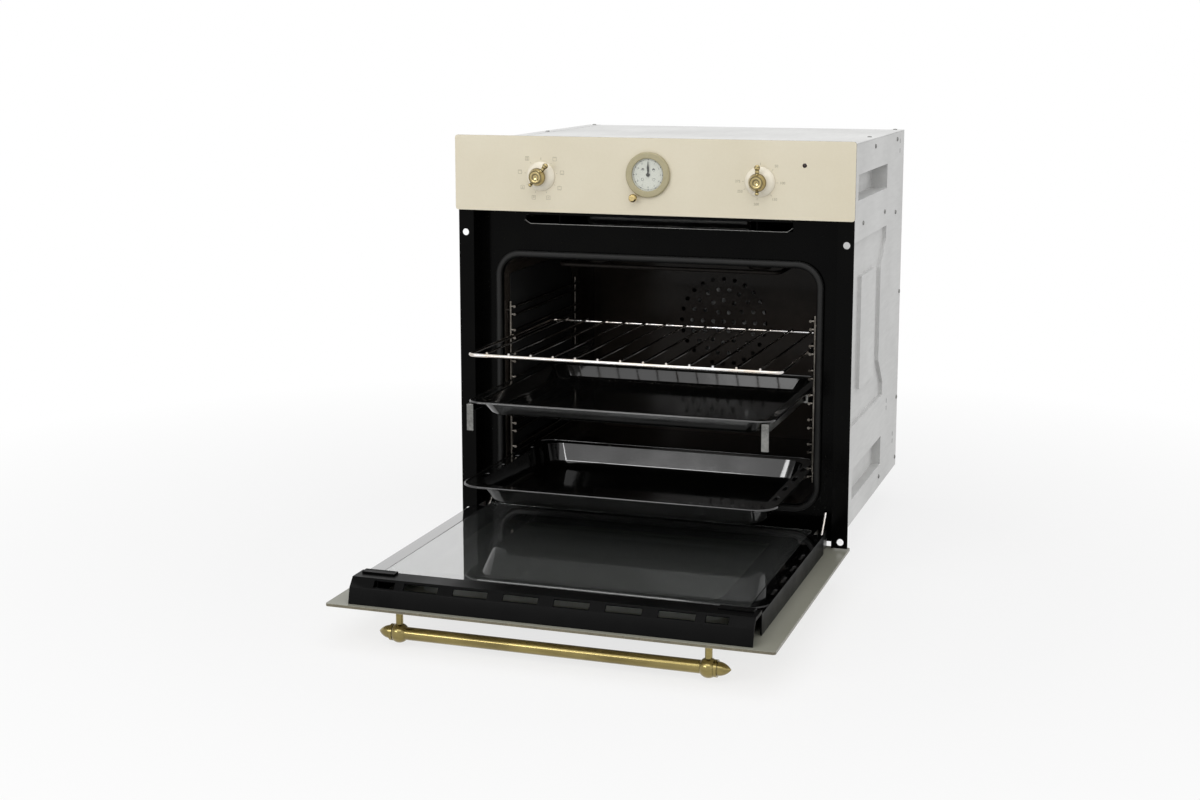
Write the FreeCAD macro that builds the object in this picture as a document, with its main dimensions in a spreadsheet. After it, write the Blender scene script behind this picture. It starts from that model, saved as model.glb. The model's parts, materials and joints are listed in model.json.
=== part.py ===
import FreeCAD, Part
import ast
import math
import operator
import os
import re

import Sketcher
from FreeCAD import Placement, Rotation, Vector

# Built-in oven with its door open and its shelves drawn out.
# X runs along the front, Y into the oven, Z up; lengths are in millimetres.
# The origin is the middle of the front frame's foot, on the face that meets the cabinet.

# Driving dimensions
DIMENSIONS = {
    # front
    "front_width": 595,          # control panel and outer door glass
    "front_top": 578,            # top edge of the control panel above the base
    "panel_height": 110,
    "panel_gap": 3,              # between control panel and closed door
    "glass_thick": 4,
    "glass_corner": 4,
    "front_gap": 4,              # from frame face to the back of panel and door glass
    "frame_setback": 1.5,        # frame edge inside the front's edge
    "body_setback": 22.5,        # body side inside the front's edge
    "top_setback": 10,           # body top below the panel's top edge
    "sheet": 1.2,                # all pressed steel
    "recess_depth": 33,          # door recess between the frame columns
    "cabinet_hole_radius": 5,
    "cabinet_hole_inset": 10.5,
    "cabinet_hole_drop": 34,
    "cabinet_hole_rise": 9,
    "vent_slot_inset": 36,
    "vent_slot_drop": 21,
    "vent_slot_height": 13,
    "seat_clear": 0.3,           # loose seat between pieces that touch
    "shaft_clear": 0.05,         # running fit of shafts and hinge pins, on the radius
    # body
    "body_depth": 540,
    "edge_flange": 15,
    "lid_setback": 12,
    "pocket_setback": 138,
    "pocket_length": 247,
    "upper_pocket_drop": 46,
    "upper_pocket_height": 38,
    "upper_pocket_depth": 26,
    "lower_pocket_foot": 36,
    "lower_pocket_height": 46,
    "lower_pocket_depth": 14,
    "field_setback": 7.8,        # behind the frame's plate
    "field_length": 346,
    "field_waist_set": 43,
    "field_rise": 68,            # above the lower pocket
    "field_drop": 60,            # below the upper pocket
    "field_jog": 20,
    "field_depth": 6,
    "rib_front_set": 140,
    "rib_rear_set": 45,
    "rib_rise": 48,
    "rib_drop": 57,
    "louvre_length": 70,
    "louvre_height": 5,
    "louvre_pitch": 14,
    "louvre_count": 5,
    "louvre_drop": 116,
    "louvre_inset": 85,
    "inlet_box_width": 96,
    "inlet_box_height": 52,
    "inlet_box_depth": 18,
    "inlet_box_inset": 125,
    "inlet_box_foot": 330,
    "cable_inlet_radius": 7,
    # cavity
    "cavity_side_space": 37,
    "cavity_foot": 52,
    "cavity_head_space": 73,
    "cavity_back_space": 85,
    "cavity_corner": 28,
    "duct_space": 37,            # from cavity roof to duct floor
    "insulation_thick": 15,
    "insulation_set": 5.8,
    "element_space": 10,
    "gasket_width": 9,
    "gasket_edge": 2,
    "gasket_proud": 8.4,
    "gasket_clear": 0.6,         # to the closed door
    "liner_thick": 0.8,
    "liner_margin": 8,
    # heat and air
    "fan_cover_inset": 22,
    "fan_cover_rise": 98,
    "fan_cover_drop": 45,
    "fan_cover_depth": 30,
    "fan_cover_corner": 10,
    "fan_hole_radius": 3.6,
    "fan_hole_pitch": 18,
    "fan_hole_rings": 4,
    "fan_disc_radius": 66,
    "fan_blade_width": 15,
    "fan_blade_thick": 1.5,
    "fan_blade_count": 9,
    "fan_shaft_radius": 4,
    "motor_radius": 36,
    "motor_length": 46,
    "motor_bracket": 110,
    "tube_radius": 3.2,
    "tube_bend": 14,
    "grill_drop": 15,
    "grill_inset": 68,
    "grill_setback": 56,
    "grill_rear_space": 59,
    "grill_loop_inset": 58,
    "grill_loop_setback": 50,
    "element_leg_half": 42,
    "element_leg_tail": 21,
    "base_loop_inset": 78,
    "base_loop_setback": 66,
    "base_loop_rear_space": 35,
    "lamp_inset": 70,
    "lamp_drop": 22,
    "lamp_radius": 19,
    "lamp_dome": 15,
    "lamp_neck": 12,
    "lamp_holder_length": 34,
    "blower_inset": 88,
    "blower_length": 156,
    "blower_height": 62,
    "wheel_radius": 26,
    "wheel_end_space": 24,
    "wheel_shaft_radius": 3,
    "wheel_slots": 12,
    "wheel_slot": 5,
    "blower_motor_radius": 22,
    "blower_motor_length": 36,
    # shelf ladders
    "first_level_rise": 44,
    "level_pitch": 36,
    "level_count": 7,
    "rung_gap": 12,
    "rung_radius": 2,
    "rung_reach": 7,
    "upright_set": 4,
    "upright_radius": 2.5,
    "ladder_setback": 13.8,
    "ladder_length": 294,
    "ladder_overrun": 14,
    # shelves, each with the depth of its home place and how far it is drawn out
    "rack_level": 5,
    "rack_side_gap": 1,
    "rack_rod_radius": 2.5,
    "rack_wire_radius": 1.6,
    "rack_corner": 10,
    "rack_setback": 15.8,
    "rack_drawn": 187,
    "rack_length": 345,
    "rack_wires": 13,
    "rack_wire_margin": 28,
    "rack_weld": 0.6,
    "tray_wall": 1.2,
    "tray_level": 3,
    "tray_side_gap": 2.7,
    "tray_setback": 10.8,
    "tray_drawn": 208,
    "tray_length": 350,
    "tray_depth": 22,
    "tray_rim": 15,
    "tray_slope": 12,
    "tray_draft": 12,
    "tray_corner": 22,
    "deep_level": 0,
    "deep_seat": 1.5,
    "deep_setback": 55.8,
    "deep_drawn": 270,
    "deep_length": 326,
    "deep_depth": 35,
    "deep_rim": 20,
    "deep_slope": 29,
    "deep_draft": 8,
    "deep_corner": 34,
    "deep_slot_length": 26,
    "deep_slot_width": 6,
    "deep_slot_count": 4,
    "deep_slot_pitch": 60,
    "rail_thick": 6.7,
    "rail_height": 12.5,
    "rail_setback": 15.8,
    "rail_length": 340,
    "rail_groove": 3,
    "rail_lip": 2.5,
    "slide_thick": 6.7,
    "slide_height": 12,
    "tab_thick": 3,
    "tab_width": 10,
    "tab_drop": 26,
    # door, its pivot on the hinge pins; heights on the door are those of the closed door
    "pivot_y": 4,
    "pivot_z": 6,
    "door_overhang": 6,          # outer glass below the base
    "door_side_clear": 4.6,
    "profile_lip": 5,
    "inner_glass_thick": 4,
    "inner_glass_foot": 18,
    "side_profile_width": 22,
    "side_profile_foot": 40,
    "profile_wall": 2,
    "top_profile_set": 7,
    "top_profile_lean": 15,
    "top_profile_knee": 5,       # steep face up to the knee, vented slope above it
    "top_profile_rise": 21,
    "top_profile_land": 31,
    "top_profile_overlap": 6,
    "air_slot_count": 6,
    "air_slot_long": 47,
    "air_slot_short": 29,
    "air_slot_pitch": 68,
    "air_slot_foot": 1.8,        # above the knee
    "air_slot_height": 8,
    "bottom_profile_top": 42,
    "hinge_inset": 11,
    "hinge_channel_width": 14,
    "hinge_channel_wall": 1.5,
    "hinge_channel_reach": 120,
    "hinge_channel_tail": 8,
    "hinge_channel_depth": 24,
    "hinge_pin_radius": 3,
    "hinge_eye_radius": 6,
    "arm_thick": 4,
    "arm_tail": 37,
    "arm_foot": 14,
    "arm_height": 30,
    "arm_notch": 3,
    # handle
    "handle_set": 32,
    "handle_drop": 36,
    "handle_inset": 90.5,
    "handle_bar_radius": 8.5,
    "handle_ball_radius": 13,
    "handle_post_radius": 4.75,
    "handle_flange_radius": 8,
    "handle_flange_thick": 2.5,
    "handle_ring_radius": 11,
    "handle_ring_thick": 4,
    "finial_radius": 9,
    "finial_length": 17,
    # controls
    "carrier_inset": 7.5,
    "carrier_return": 4,
    "knob_inset": 134.5,
    "knob_rise": 52,
    "skirt_radius": 21.5,
    "skirt_edge": 1.5,
    "skirt_round": 14,
    "skirt_depth": 9,
    "hub_radius": 13,
    "hub_waist": 9.5,
    "hub_depth": 16,
    "hub_dish": 3,
    "lever_reach": 25,
    "lever_ball": 4.2,
    "lever_root": 2.4,
    "tail_reach": 15,
    "tail_ball": 3,
    "lever_lift": 9,
    "selector_turn": 40,
    "stem_radius": 3,
    "stem_hole": 5,
    "stem_depth": 22,
    "switch_size": 44,
    "switch_depth": 36,
    "thermostat_radius": 24,
    "clock_rise": 58,
    "dial_radius": 24.2,
    "dial_thick": 0.8,
    "bezel_width": 8.3,
    "bezel_lip": 1,
    "bezel_depth": 6,
    "clock_case_clear": 1,
    "clock_case_depth": 34,
    "hand_gap": 0.5,
    "hand_thick": 0.5,
    "minute_reach": 19,
    "hour_reach": 13,
    "hand_width": 3,
    "arbor_radius": 1,
    "hour_hub": 2.6,
    "clock_glass_thick": 1,
    "set_knob_side": 19.8,
    "set_knob_drop": 33,
    "set_knob_radius": 6,
    "set_knob_depth": 9,
    "set_stem_radius": 2.2,
    "set_stem_length": 7,
    "pilot_inset": 71.5,
    "pilot_rise": 76,
    "pilot_radius": 2.8,
    "pilot_head": 1.5,
    "pilot_depth": 14,
}

# Sizes that follow from the driving dimensions
FORMULAS = {
    # across
    "half_front": "front_width / 2",
    "half_frame": "half_front - frame_setback",
    "half_body": "half_front - body_setback",
    "half_cavity": "half_body - cavity_side_space",
    "half_hole_spread": "half_frame - cabinet_hole_inset",
    "column_inner": "half_body - 2 * sheet",
    "vent_slot_half": "half_cavity - vent_slot_inset",
    "louvre_side": "half_body - louvre_inset",
    "inlet_box_side": "half_body - inlet_box_inset",
    "fan_cover_half": "half_cavity - fan_cover_inset",
    "grill_half": "half_cavity - grill_inset",
    "grill_loop_half": "grill_half - grill_loop_inset",
    "base_loop_half": "half_cavity - base_loop_inset",
    "lamp_side": "half_cavity - lamp_inset",
    "blower_half": "half_cavity - blower_inset",
    "wheel_half": "blower_half - wheel_end_space",
    "liner_outer": "half_cavity - seat_clear",
    "upright_half": "half_cavity - upright_set",
    "rung_half": "upright_half - rung_reach",
    "rack_half": "rung_half - rack_side_gap",
    "rack_wire_pitch": "2 * (rack_half - rack_wire_margin) / (rack_wires - 1)",
    "rail_outer": "rung_half - rung_radius - seat_clear",
    "rail_inner": "rail_outer - rail_thick",
    "slide_outer": "rail_inner - seat_clear",
    "slide_inner": "slide_outer - slide_thick",
    "tray_half": "rail_outer - tray_side_gap",
    "deep_half": "rung_half + deep_seat",
    "door_half": "column_inner - door_side_clear",
    "inner_glass_half": "door_half - side_profile_width",
    "hinge_channel_half": "door_half - hinge_inset",
    "handle_half": "half_front - handle_inset",
    "carrier_half": "half_front - carrier_inset",
    "knob_side": "half_front - knob_inset",
    "pilot_side": "half_front - pilot_inset",
    # along the depth
    "panel_back": "-front_gap",
    "panel_face": "-front_gap - glass_thick",
    "plate_back": "recess_depth + sheet",
    "lid_front": "lid_setback",
    "pocket_front": "pocket_setback",
    "pocket_rear": "pocket_front + pocket_length",
    "field_front": "plate_back + field_setback",
    "field_rear": "field_front + field_length",
    "field_waist": "field_rear - field_waist_set",
    "rib_front": "field_front + rib_front_set",
    "rib_rear": "field_waist - rib_rear_set",
    "cavity_back": "body_depth - cavity_back_space",
    "insulation_front": "plate_back + insulation_set",
    "insulation_rear": "cavity_back - insulation_set",
    "fan_back": "cavity_back - 2 * sheet",
    "motor_front": "cavity_back + 2 * sheet",
    "element_leg_end": "cavity_back + element_leg_tail",
    "grill_front": "plate_back + grill_setback",
    "grill_rear": "cavity_back - grill_rear_space",
    "grill_loop_front": "grill_front + grill_loop_setback",
    "grill_loop_rear": "grill_rear - grill_loop_setback",
    "base_loop_front": "plate_back + base_loop_setback",
    "base_loop_rear": "cavity_back - base_loop_rear_space",
    "blower_rear": "plate_back + blower_length",
    "wheel_y": "(plate_back + blower_rear) / 2",
    "ladder_front": "plate_back + ladder_setback",
    "ladder_rear": "ladder_front + ladder_length",
    "rail_front": "plate_back + rail_setback",
    "rack_front": "plate_back + rack_setback - rack_drawn",
    "tray_front": "plate_back + tray_setback - tray_drawn",
    "deep_front": "plate_back + deep_setback - deep_drawn",
    "arm_back": "recess_depth + arm_tail",
    "arm_knee": "recess_depth - arm_notch",
    "arm_shoulder": "recess_depth + arm_notch",
    # heights
    "panel_foot": "front_top - panel_height",
    "body_top": "front_top - top_setback",
    "cabinet_hole_height": "panel_foot - cabinet_hole_drop",
    "vent_slot_foot": "panel_foot - vent_slot_drop",
    "upper_pocket_top": "body_top - upper_pocket_drop",
    "upper_pocket_foot": "upper_pocket_top - upper_pocket_height",
    "lower_pocket_top": "lower_pocket_foot + lower_pocket_height",
    "field_foot": "lower_pocket_top + field_rise",
    "field_top": "upper_pocket_foot - field_drop",
    "rib_foot": "field_foot + rib_rise",
    "rib_top": "field_top - rib_drop",
    "louvre_foot": "body_top - louvre_drop",
    "cavity_top": "panel_foot - cavity_head_space",
    "duct_floor_height": "cavity_top + duct_space",
    "wheel_z": "duct_floor_height + sheet + blower_height / 2",
    "fan_cover_foot": "cavity_foot + fan_cover_rise",
    "fan_cover_top": "cavity_top - fan_cover_drop",
    "fan_height": "(fan_cover_foot + fan_cover_top) / 2",
    "grill_height": "cavity_top - grill_drop",
    "base_tube_z": "cavity_foot - sheet - seat_clear - tube_radius",
    "lamp_height": "cavity_top - lamp_drop",
    "first_level": "cavity_foot + first_level_rise",
    "rung_low": "rung_gap / 2 - rung_radius",
    "rack_z": "first_level + rack_level * level_pitch - rung_low + seat_clear + rack_rod_radius",
    "tray_z": "first_level + tray_level * level_pitch",
    "slide_top": "tray_z + slide_height / 2",
    "tray_rim_z": "slide_top + seat_clear",
    "deep_rim_z": "first_level + deep_level * level_pitch - rung_low + seat_clear",
    "arm_top": "arm_foot + arm_height",
    "knob_height": "panel_foot + knob_rise",
    "pilot_height": "panel_foot + pilot_rise",
    "clock_height": "panel_foot + clock_rise",
    "set_knob_x": "-set_knob_side",
    "set_knob_z": "clock_height - set_knob_drop",
    # open door: what is high on the closed door lies far out, what faces the oven lies up
    "door_front": "pivot_y + pivot_z - panel_foot + panel_gap",
    "door_back": "pivot_y + pivot_z + door_overhang",
    "glass_low": "pivot_z - pivot_y - front_gap - glass_thick",
    "glass_high": "glass_low + glass_thick",
    "inner_high": "pivot_z - pivot_y + recess_depth - gasket_proud - gasket_clear",
    "inner_low": "inner_high - inner_glass_thick",
    "profile_high": "inner_high + profile_lip",
    "profile_foot_y": "door_front + top_profile_set",
    "profile_knee_y": "profile_foot_y + top_profile_knee",
    "profile_knee_z": "glass_high + top_profile_rise",
    "profile_lip_y": "profile_foot_y + top_profile_lean",
    "profile_land_y": "profile_lip_y + top_profile_land",
    "inner_glass_front": "profile_land_y - top_profile_overlap",
    "inner_glass_back": "pivot_y + pivot_z - inner_glass_foot",
    "side_profile_back": "pivot_y + pivot_z - side_profile_foot",
    "bottom_profile_front": "pivot_y + pivot_z - bottom_profile_top",
    "hinge_channel_front": "pivot_y + pivot_z - hinge_channel_reach",
    "hinge_channel_back": "pivot_y + hinge_channel_tail",
    "hinge_channel_top": "glass_high + hinge_channel_depth",
    "handle_y": "door_front + handle_set",
    "handle_z": "glass_low - handle_drop",
    # clock, from the panel's face outwards
    "clock_case_radius": "dial_radius + clock_case_clear",
    "clock_hole": "clock_case_radius + clock_case_clear",
    "bezel_radius": "dial_radius + bezel_width",
    "bezel_bore": "dial_radius - bezel_lip",
    "dial_face": "panel_face - dial_thick",
    "hour_face": "dial_face - hand_gap - hand_thick",
    "minute_face": "hour_face - hand_gap - hand_thick",
    "clock_glass_back": "minute_face - hand_gap",
    "bezel_step": "clock_glass_back - clock_glass_thick - panel_face",
}

ARITHMETIC = {
    ast.Add: operator.add,
    ast.Sub: operator.sub,
    ast.Mult: operator.mul,
    ast.Div: operator.truediv,
}
ALONG = {"x": Rotation(Vector(0, 1, 0), 90), "y": Rotation(Vector(1, 0, 0), -90), "z": Rotation()}
WORD = re.compile(r"[a-z][a-z0-9_]+")

doc = FreeCAD.newDocument("built_in_oven")
nodes = {}


def write_sheet():
    """Put every dimension and formula in the sheet under its own alias."""
    table = doc.addObject("Spreadsheet::Sheet", "Dimensions")
    rows = list(DIMENSIONS.items()) + [(alias, "=" + text) for alias, text in FORMULAS.items()]
    for row, (alias, content) in enumerate(rows, start=1):
        table.set("A%d" % row, alias)
        table.set("B%d" % row, str(content))
        table.setAlias("B%d" % row, alias)
    doc.recompute()
    return {alias: float(getattr(table, alias)) for alias, content in rows}


sizes = write_sheet()


def work_out(term):
    """Value of one parsed term of a formula."""
    if isinstance(term, ast.Constant):
        return float(term.value)
    if isinstance(term, ast.Name):
        return sizes[term.id]
    if isinstance(term, ast.UnaryOp):
        return -work_out(term.operand)
    return ARITHMETIC[type(term.op)](work_out(term.left), work_out(term.right))


def number(formula):
    """Value of a formula written in the sheet's words."""
    return work_out(ast.parse(str(formula).strip()).body[0].value)


def bind(feature, name, formula):
    """Tie one property to a formula written in the sheet's words."""
    feature.setExpression(name, WORD.sub(lambda word: "Dimensions." + word.group(), str(formula)))


def place(feature, x="0", y="0", z="0"):
    for axis, formula in (("x", x), ("y", y), ("z", z)):
        bind(feature, "Placement.Base." + axis, formula)
    return feature


def node(label, feature):
    feature.Label = label
    nodes[label] = feature
    return feature


# Part primitives and booleans

def box(name, x, y, z):
    """Block between the low and high formulas of each axis."""
    block = doc.addObject("Part::Box", name)
    for side, (low, high) in (("Length", x), ("Width", y), ("Height", z)):
        bind(block, side, "(%s) - (%s)" % (high, low))
    return place(block, x[0], y[0], z[0])


def rod(name, axis, radius, start, length):
    """Round bar along one axis."""
    bar = doc.addObject("Part::Cylinder", name)
    bar.Placement = Placement(Vector(), ALONG[axis])
    bind(bar, "Radius", radius)
    bind(bar, "Height", length)
    return place(bar, *start)


def ball(name, radius, centre):
    sphere = doc.addObject("Part::Sphere", name)
    bind(sphere, "Radius", radius)
    return place(sphere, *centre)


def fuse(name, pieces):
    whole = doc.addObject("Part::MultiFuse", name)
    whole.Shapes = pieces
    return whole


def cut(name, base, tools):
    rest = doc.addObject("Part::Cut", name)
    rest.Base = base
    rest.Tool = tools[0] if len(tools) == 1 else fuse(name + "_tools", tools)
    return rest


def mirror_image(name, source):
    """The same piece on the other side of the middle plane."""
    image = doc.addObject("Part::Mirroring", name)
    image.Source = source
    image.Normal = Vector(1, 0, 0)
    return image


def both(width):
    """Low and high formulas of a width centred on the middle plane."""
    return ("-(%s)" % width, width)


# Bodies made from sketches

def new_body(label, x="0", y="0", z="0"):
    return node(label, place(doc.addObject("PartDesign::Body", label), x, y, z))


def sketch_on(body, role, name):
    sketch = body.newObject("Sketcher::SketchObject", name)
    plane = next(feature for feature in body.Origin.OriginFeatures if feature.Role == role)
    sketch.AttachmentSupport = [(plane, "")]
    sketch.MapMode = "FlatFace"
    return sketch


def pin_point(sketch, geometry, position, u, v):
    """Hold a point of the sketch at two formulas."""
    for kind, formula in (("DistanceX", u), ("DistanceY", v)):
        rule = Sketcher.Constraint(kind, -1, 1, geometry, position, number(formula))
        bind(sketch, "Constraints[%d]" % sketch.addConstraint(rule), formula)


def add_circle(sketch, u, v, radius):
    middle = Vector(number(u), number(v), 0)
    index = sketch.addGeometry(Part.Circle(middle, Vector(0, 0, 1), number(radius)))
    pin_point(sketch, index, 3, u, v)
    rule = Sketcher.Constraint("Radius", index, number(radius))
    bind(sketch, "Constraints[%d]" % sketch.addConstraint(rule), radius)


def short_arc(start, end, radius, turn):
    """Arc under half a circle, anticlockwise where turn is 1; returns it and its end positions."""
    chord = end - start
    rise = math.sqrt(max(radius ** 2 - chord.Length ** 2 / 4, 0))
    normal = Vector(-chord.y, chord.x, 0).normalize()
    centre = (start + end) * 0.5 + normal * rise * turn
    first, last = (start, end) if turn > 0 else (end, start)
    angles = [math.atan2(point.y - centre.y, point.x - centre.x) for point in (first, last)]
    curve = Part.ArcOfCircle(Part.Circle(centre, Vector(0, 0, 1), radius), *angles)
    return curve, (1, 2) if turn > 0 else (2, 1)


def add_loop(sketch, points):
    """Closed outline; a point is (u, v), or (u, v, radius, turn) where an arc leaves it."""
    corners = [Vector(number(point[0]), number(point[1]), 0) for point in points]
    sides = []
    for start, end, point in zip(corners, corners[1:] + corners[:1], points):
        if len(point) == 2:
            curve, ends = Part.LineSegment(start, end), (1, 2)
        else:
            curve, ends = short_arc(start, end, number(point[2]), point[3])
        sides.append((sketch.addGeometry(curve), ends))
    for (index, ends), (following, starts) in zip(sides, sides[1:] + sides[:1]):
        sketch.addConstraint(Sketcher.Constraint("Coincident", index, ends[1], following, starts[0]))
    for (index, ends), point in zip(sides, points):
        pin_point(sketch, index, ends[0], point[0], point[1])
        if len(point) > 2:
            rule = Sketcher.Constraint("Radius", index, number(point[2]))
            bind(sketch, "Constraints[%d]" % sketch.addConstraint(rule), point[2])


def rectangle(u, v):
    return [(u[0], v[0]), (u[1], v[0]), (u[1], v[1]), (u[0], v[1])]


def rounded(u, v, radius):
    """Rectangle between two pairs of formulas, with round corners."""
    near_u, far_u = "(%s) + %s" % (u[0], radius), "(%s) - %s" % (u[1], radius)
    near_v, far_v = "(%s) + %s" % (v[0], radius), "(%s) - %s" % (v[1], radius)
    return [(near_u, v[0]), (far_u, v[0], radius, 1), (u[1], near_v), (u[1], far_v, radius, 1),
            (far_u, v[1]), (near_u, v[1], radius, 1), (u[0], far_v), (u[0], near_v, radius, 1)]


def pad(body, role, loops, length, reverse=False, middle=False, circles=()):
    sketch = sketch_on(body, role, "outline")
    for loop in loops:
        add_loop(sketch, loop)
    for circle in circles:
        add_circle(sketch, *circle)
    feature = body.newObject("PartDesign::Pad", "pad")
    feature.Profile = sketch
    feature.Reversed = reverse
    feature.SideType = "Symmetric" if middle else "One side"
    bind(feature, "Length", length)
    return feature


def pocket(body, role, loops=(), circles=(), depth=None, reverse=False):
    """Cut through all of the body, or to a depth on one side of the sketch."""
    sketch = sketch_on(body, role, "opening")
    for loop in loops:
        add_loop(sketch, loop)
    for circle in circles:
        add_circle(sketch, *circle)
    feature = body.newObject("PartDesign::Pocket", "pocket")
    feature.Profile = sketch
    feature.Reversed = reverse
    if depth is None:
        feature.Type = "ThroughAll"
        feature.SideType = "Symmetric"
    else:
        bind(feature, "Length", depth)
    return feature


def turned(body, points, axis="V_Axis", role="XY_Plane"):
    """Solid of revolution of an outline about one axis of its sketch."""
    sketch = sketch_on(body, role, "outline")
    add_loop(sketch, points)
    feature = body.newObject("PartDesign::Revolution", "turning")
    feature.Profile = sketch
    feature.ReferenceAxis = (sketch, [axis])
    feature.Angle = 360
    return feature


def repeat_round(body, feature, role, count):
    """Copies of a feature round one axis of the body."""
    ring = body.newObject("PartDesign::PolarPattern", "ring")
    ring.Originals = [feature]
    ring.Axis = (next(line for line in body.Origin.OriginFeatures if line.Role == role), [""])
    ring.Angle = 360
    ring.Occurrences = count
    body.Tip = ring
    return ring


# Body panels

def side_panel(label, side):
    """Pressed side with two hand pockets and a large field sunk round a raised middle."""
    body = new_body(label, x="%d * half_body" % side)
    inward = side > 0
    pad(body, "YZ_Plane", [rectangle(("sheet", "body_depth - sheet"), ("0", "body_top - sheet"))],
        "sheet", reverse=inward)
    for level in ("upper_pocket", "lower_pocket"):
        outer = rectangle(("pocket_front - sheet", "pocket_rear + sheet"),
                          (level + "_foot - sheet", level + "_top + sheet"))
        inner = rectangle(("pocket_front", "pocket_rear"), (level + "_foot", level + "_top"))
        pad(body, "YZ_Plane", [outer], level + "_depth + sheet", reverse=inward)
        pocket(body, "YZ_Plane", [inner], depth=level + "_depth", reverse=not inward)
    rib = rectangle(("rib_front", "rib_rear"), ("rib_foot", "rib_top"))
    pad(body, "YZ_Plane", [field_outline("sheet"), rib], "field_depth + sheet", reverse=inward)
    raised = rectangle(("rib_front - sheet", "rib_rear + sheet"), ("rib_foot - sheet", "rib_top + sheet"))
    pocket(body, "YZ_Plane", [field_outline("0"), raised], depth="field_depth", reverse=not inward)


def field_outline(wall):
    """Outline of the sunk field, drawn in at its waist."""
    front, rear, waist = "field_front - " + wall, "field_rear + " + wall, "field_waist + " + wall
    foot, top = "field_foot - " + wall, "field_top + " + wall
    return [(front, foot), (rear, foot), (rear, "field_foot + field_jog"),
            (waist, "field_foot + field_jog + field_rear - field_waist"),
            (waist, "field_top - field_jog - field_rear + field_waist"),
            (rear, "field_top - field_jog"), (rear, top), (front, top)]


def body_panels():
    inside = both("half_body - sheet")
    run = ("plate_back", "body_depth - sheet")
    floor = box("floor_plate", inside, run, ("0", "sheet"))
    flanges = [box("floor_flange", pair, run, ("0", "edge_flange"))
               for pair in (("column_inner", "half_body - sheet"), ("sheet - half_body", "-column_inner"))]
    node("base_panel", fuse("base_panel", [floor] + flanges))
    side_panel("left_side_panel", -1)
    side_panel("right_side_panel", 1)
    lid = box("lid_plate", both("half_body"), ("lid_front", "body_depth"), ("body_top - sheet", "body_top"))
    lip = box("lid_lip", both("column_inner"), ("lid_front", "lid_front + sheet"),
              ("body_top - edge_flange", "body_top"))
    node("top_cover", fuse("top_cover", [lid, lip]))
    node("duct_floor", box("duct_floor", inside, run, ("duct_floor_height", "duct_floor_height + sheet")))
    back = new_body("back_panel", y="body_depth")
    pad(back, "XZ_Plane", [rectangle(both("half_body"), ("0", "body_top - sheet"))], "sheet")
    louvres = []
    for side in (-1, 1):
        for step in range(int(sizes["louvre_count"])):
            foot = "louvre_foot + %d * louvre_pitch" % step
            middle = "%d * louvre_side" % side
            louvres.append(rectangle((middle + " - louvre_length / 2", middle + " + louvre_length / 2"),
                                     (foot, foot + " + louvre_height")))
    inlet = ("inlet_box_side", "inlet_box_foot + inlet_box_height / 2", "cable_inlet_radius")
    pocket(back, "XZ_Plane", louvres, [inlet])


def terminal_box():
    """Mains terminal cover on the back, with its cable inlet in the foot."""
    low = "inlet_box_side - inlet_box_width / 2"
    high = "inlet_box_side + inlet_box_width / 2"
    outer = box("cover_outer", (low, high), ("body_depth", "body_depth + inlet_box_depth"),
                ("inlet_box_foot", "inlet_box_foot + inlet_box_height"))
    inner = box("cover_inner", (low + " + sheet", high + " - sheet"),
                ("body_depth", "body_depth + inlet_box_depth - sheet"),
                ("inlet_box_foot + sheet", "inlet_box_foot + inlet_box_height - sheet"))
    inlet = rod("cover_inlet", "z", "cable_inlet_radius",
                ("inlet_box_side", "body_depth + inlet_box_depth / 2", "inlet_box_foot - sheet"), "3 * sheet")
    node("terminal_cover", cut("terminal_cover", outer, [inner, inlet]))


# Front frame and cavity

def front_frame():
    """One pressing: two columns that overlap the cabinet and a plate set back between them."""
    body = new_body("front_frame")
    outline = [("-half_frame", "0"), ("-column_inner", "0"), ("-column_inner", "recess_depth"),
               ("column_inner", "recess_depth"), ("column_inner", "0"), ("half_frame", "0"),
               ("half_frame", "sheet"), ("column_inner + sheet", "sheet"),
               ("column_inner + sheet", "plate_back"), ("-column_inner - sheet", "plate_back"),
               ("-column_inner - sheet", "sheet"), ("-half_frame", "sheet")]
    pad(body, "XY_Plane", [outline], "body_top - sheet")
    vent = rectangle(both("vent_slot_half"), ("vent_slot_foot", "vent_slot_foot + vent_slot_height"))
    window = rectangle(both("column_inner - edge_flange"), ("panel_foot + edge_flange", "body_top"))
    loops = [cavity_outline("0"), vent, window]
    slot = "(arm_thick / 2 + seat_clear)"
    for side in (-1, 1):
        middle = "%d * hinge_channel_half" % side
        loops.append(rectangle((middle + " - " + slot, middle + " + " + slot),
                               ("arm_foot - sheet", "arm_top + sheet")))
    holes = [("%d * half_hole_spread" % side, height, "cabinet_hole_radius")
             for side in (-1, 1) for height in ("cabinet_hole_height", "cabinet_hole_rise")]
    pocket(body, "XZ_Plane", loops, holes)


def cavity_outline(wall):
    """Round-cornered section of the cavity, grown by a wall."""
    return rounded(both("half_cavity + " + wall), ("cavity_foot - " + wall, "cavity_top + " + wall),
                   "(cavity_corner + %s)" % wall)


def cavity():
    body = new_body("oven_cavity", y="plate_back")
    pad(body, "XZ_Plane", [cavity_outline("sheet")], "cavity_back + sheet - plate_back", reverse=True)
    pocket(body, "XZ_Plane", [cavity_outline("0")], depth="cavity_back - plate_back")
    holes = [("0", "fan_height", "fan_shaft_radius + seat_clear"),
             ("-lamp_side", "lamp_height", "lamp_neck + seat_clear")]
    leg_hole = "tube_radius + seat_clear"
    holes += [("%d * element_leg_half" % side, "grill_height", leg_hole) for side in (-1, 1)]
    pocket(body, "XZ_Plane", circles=holes)


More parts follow.
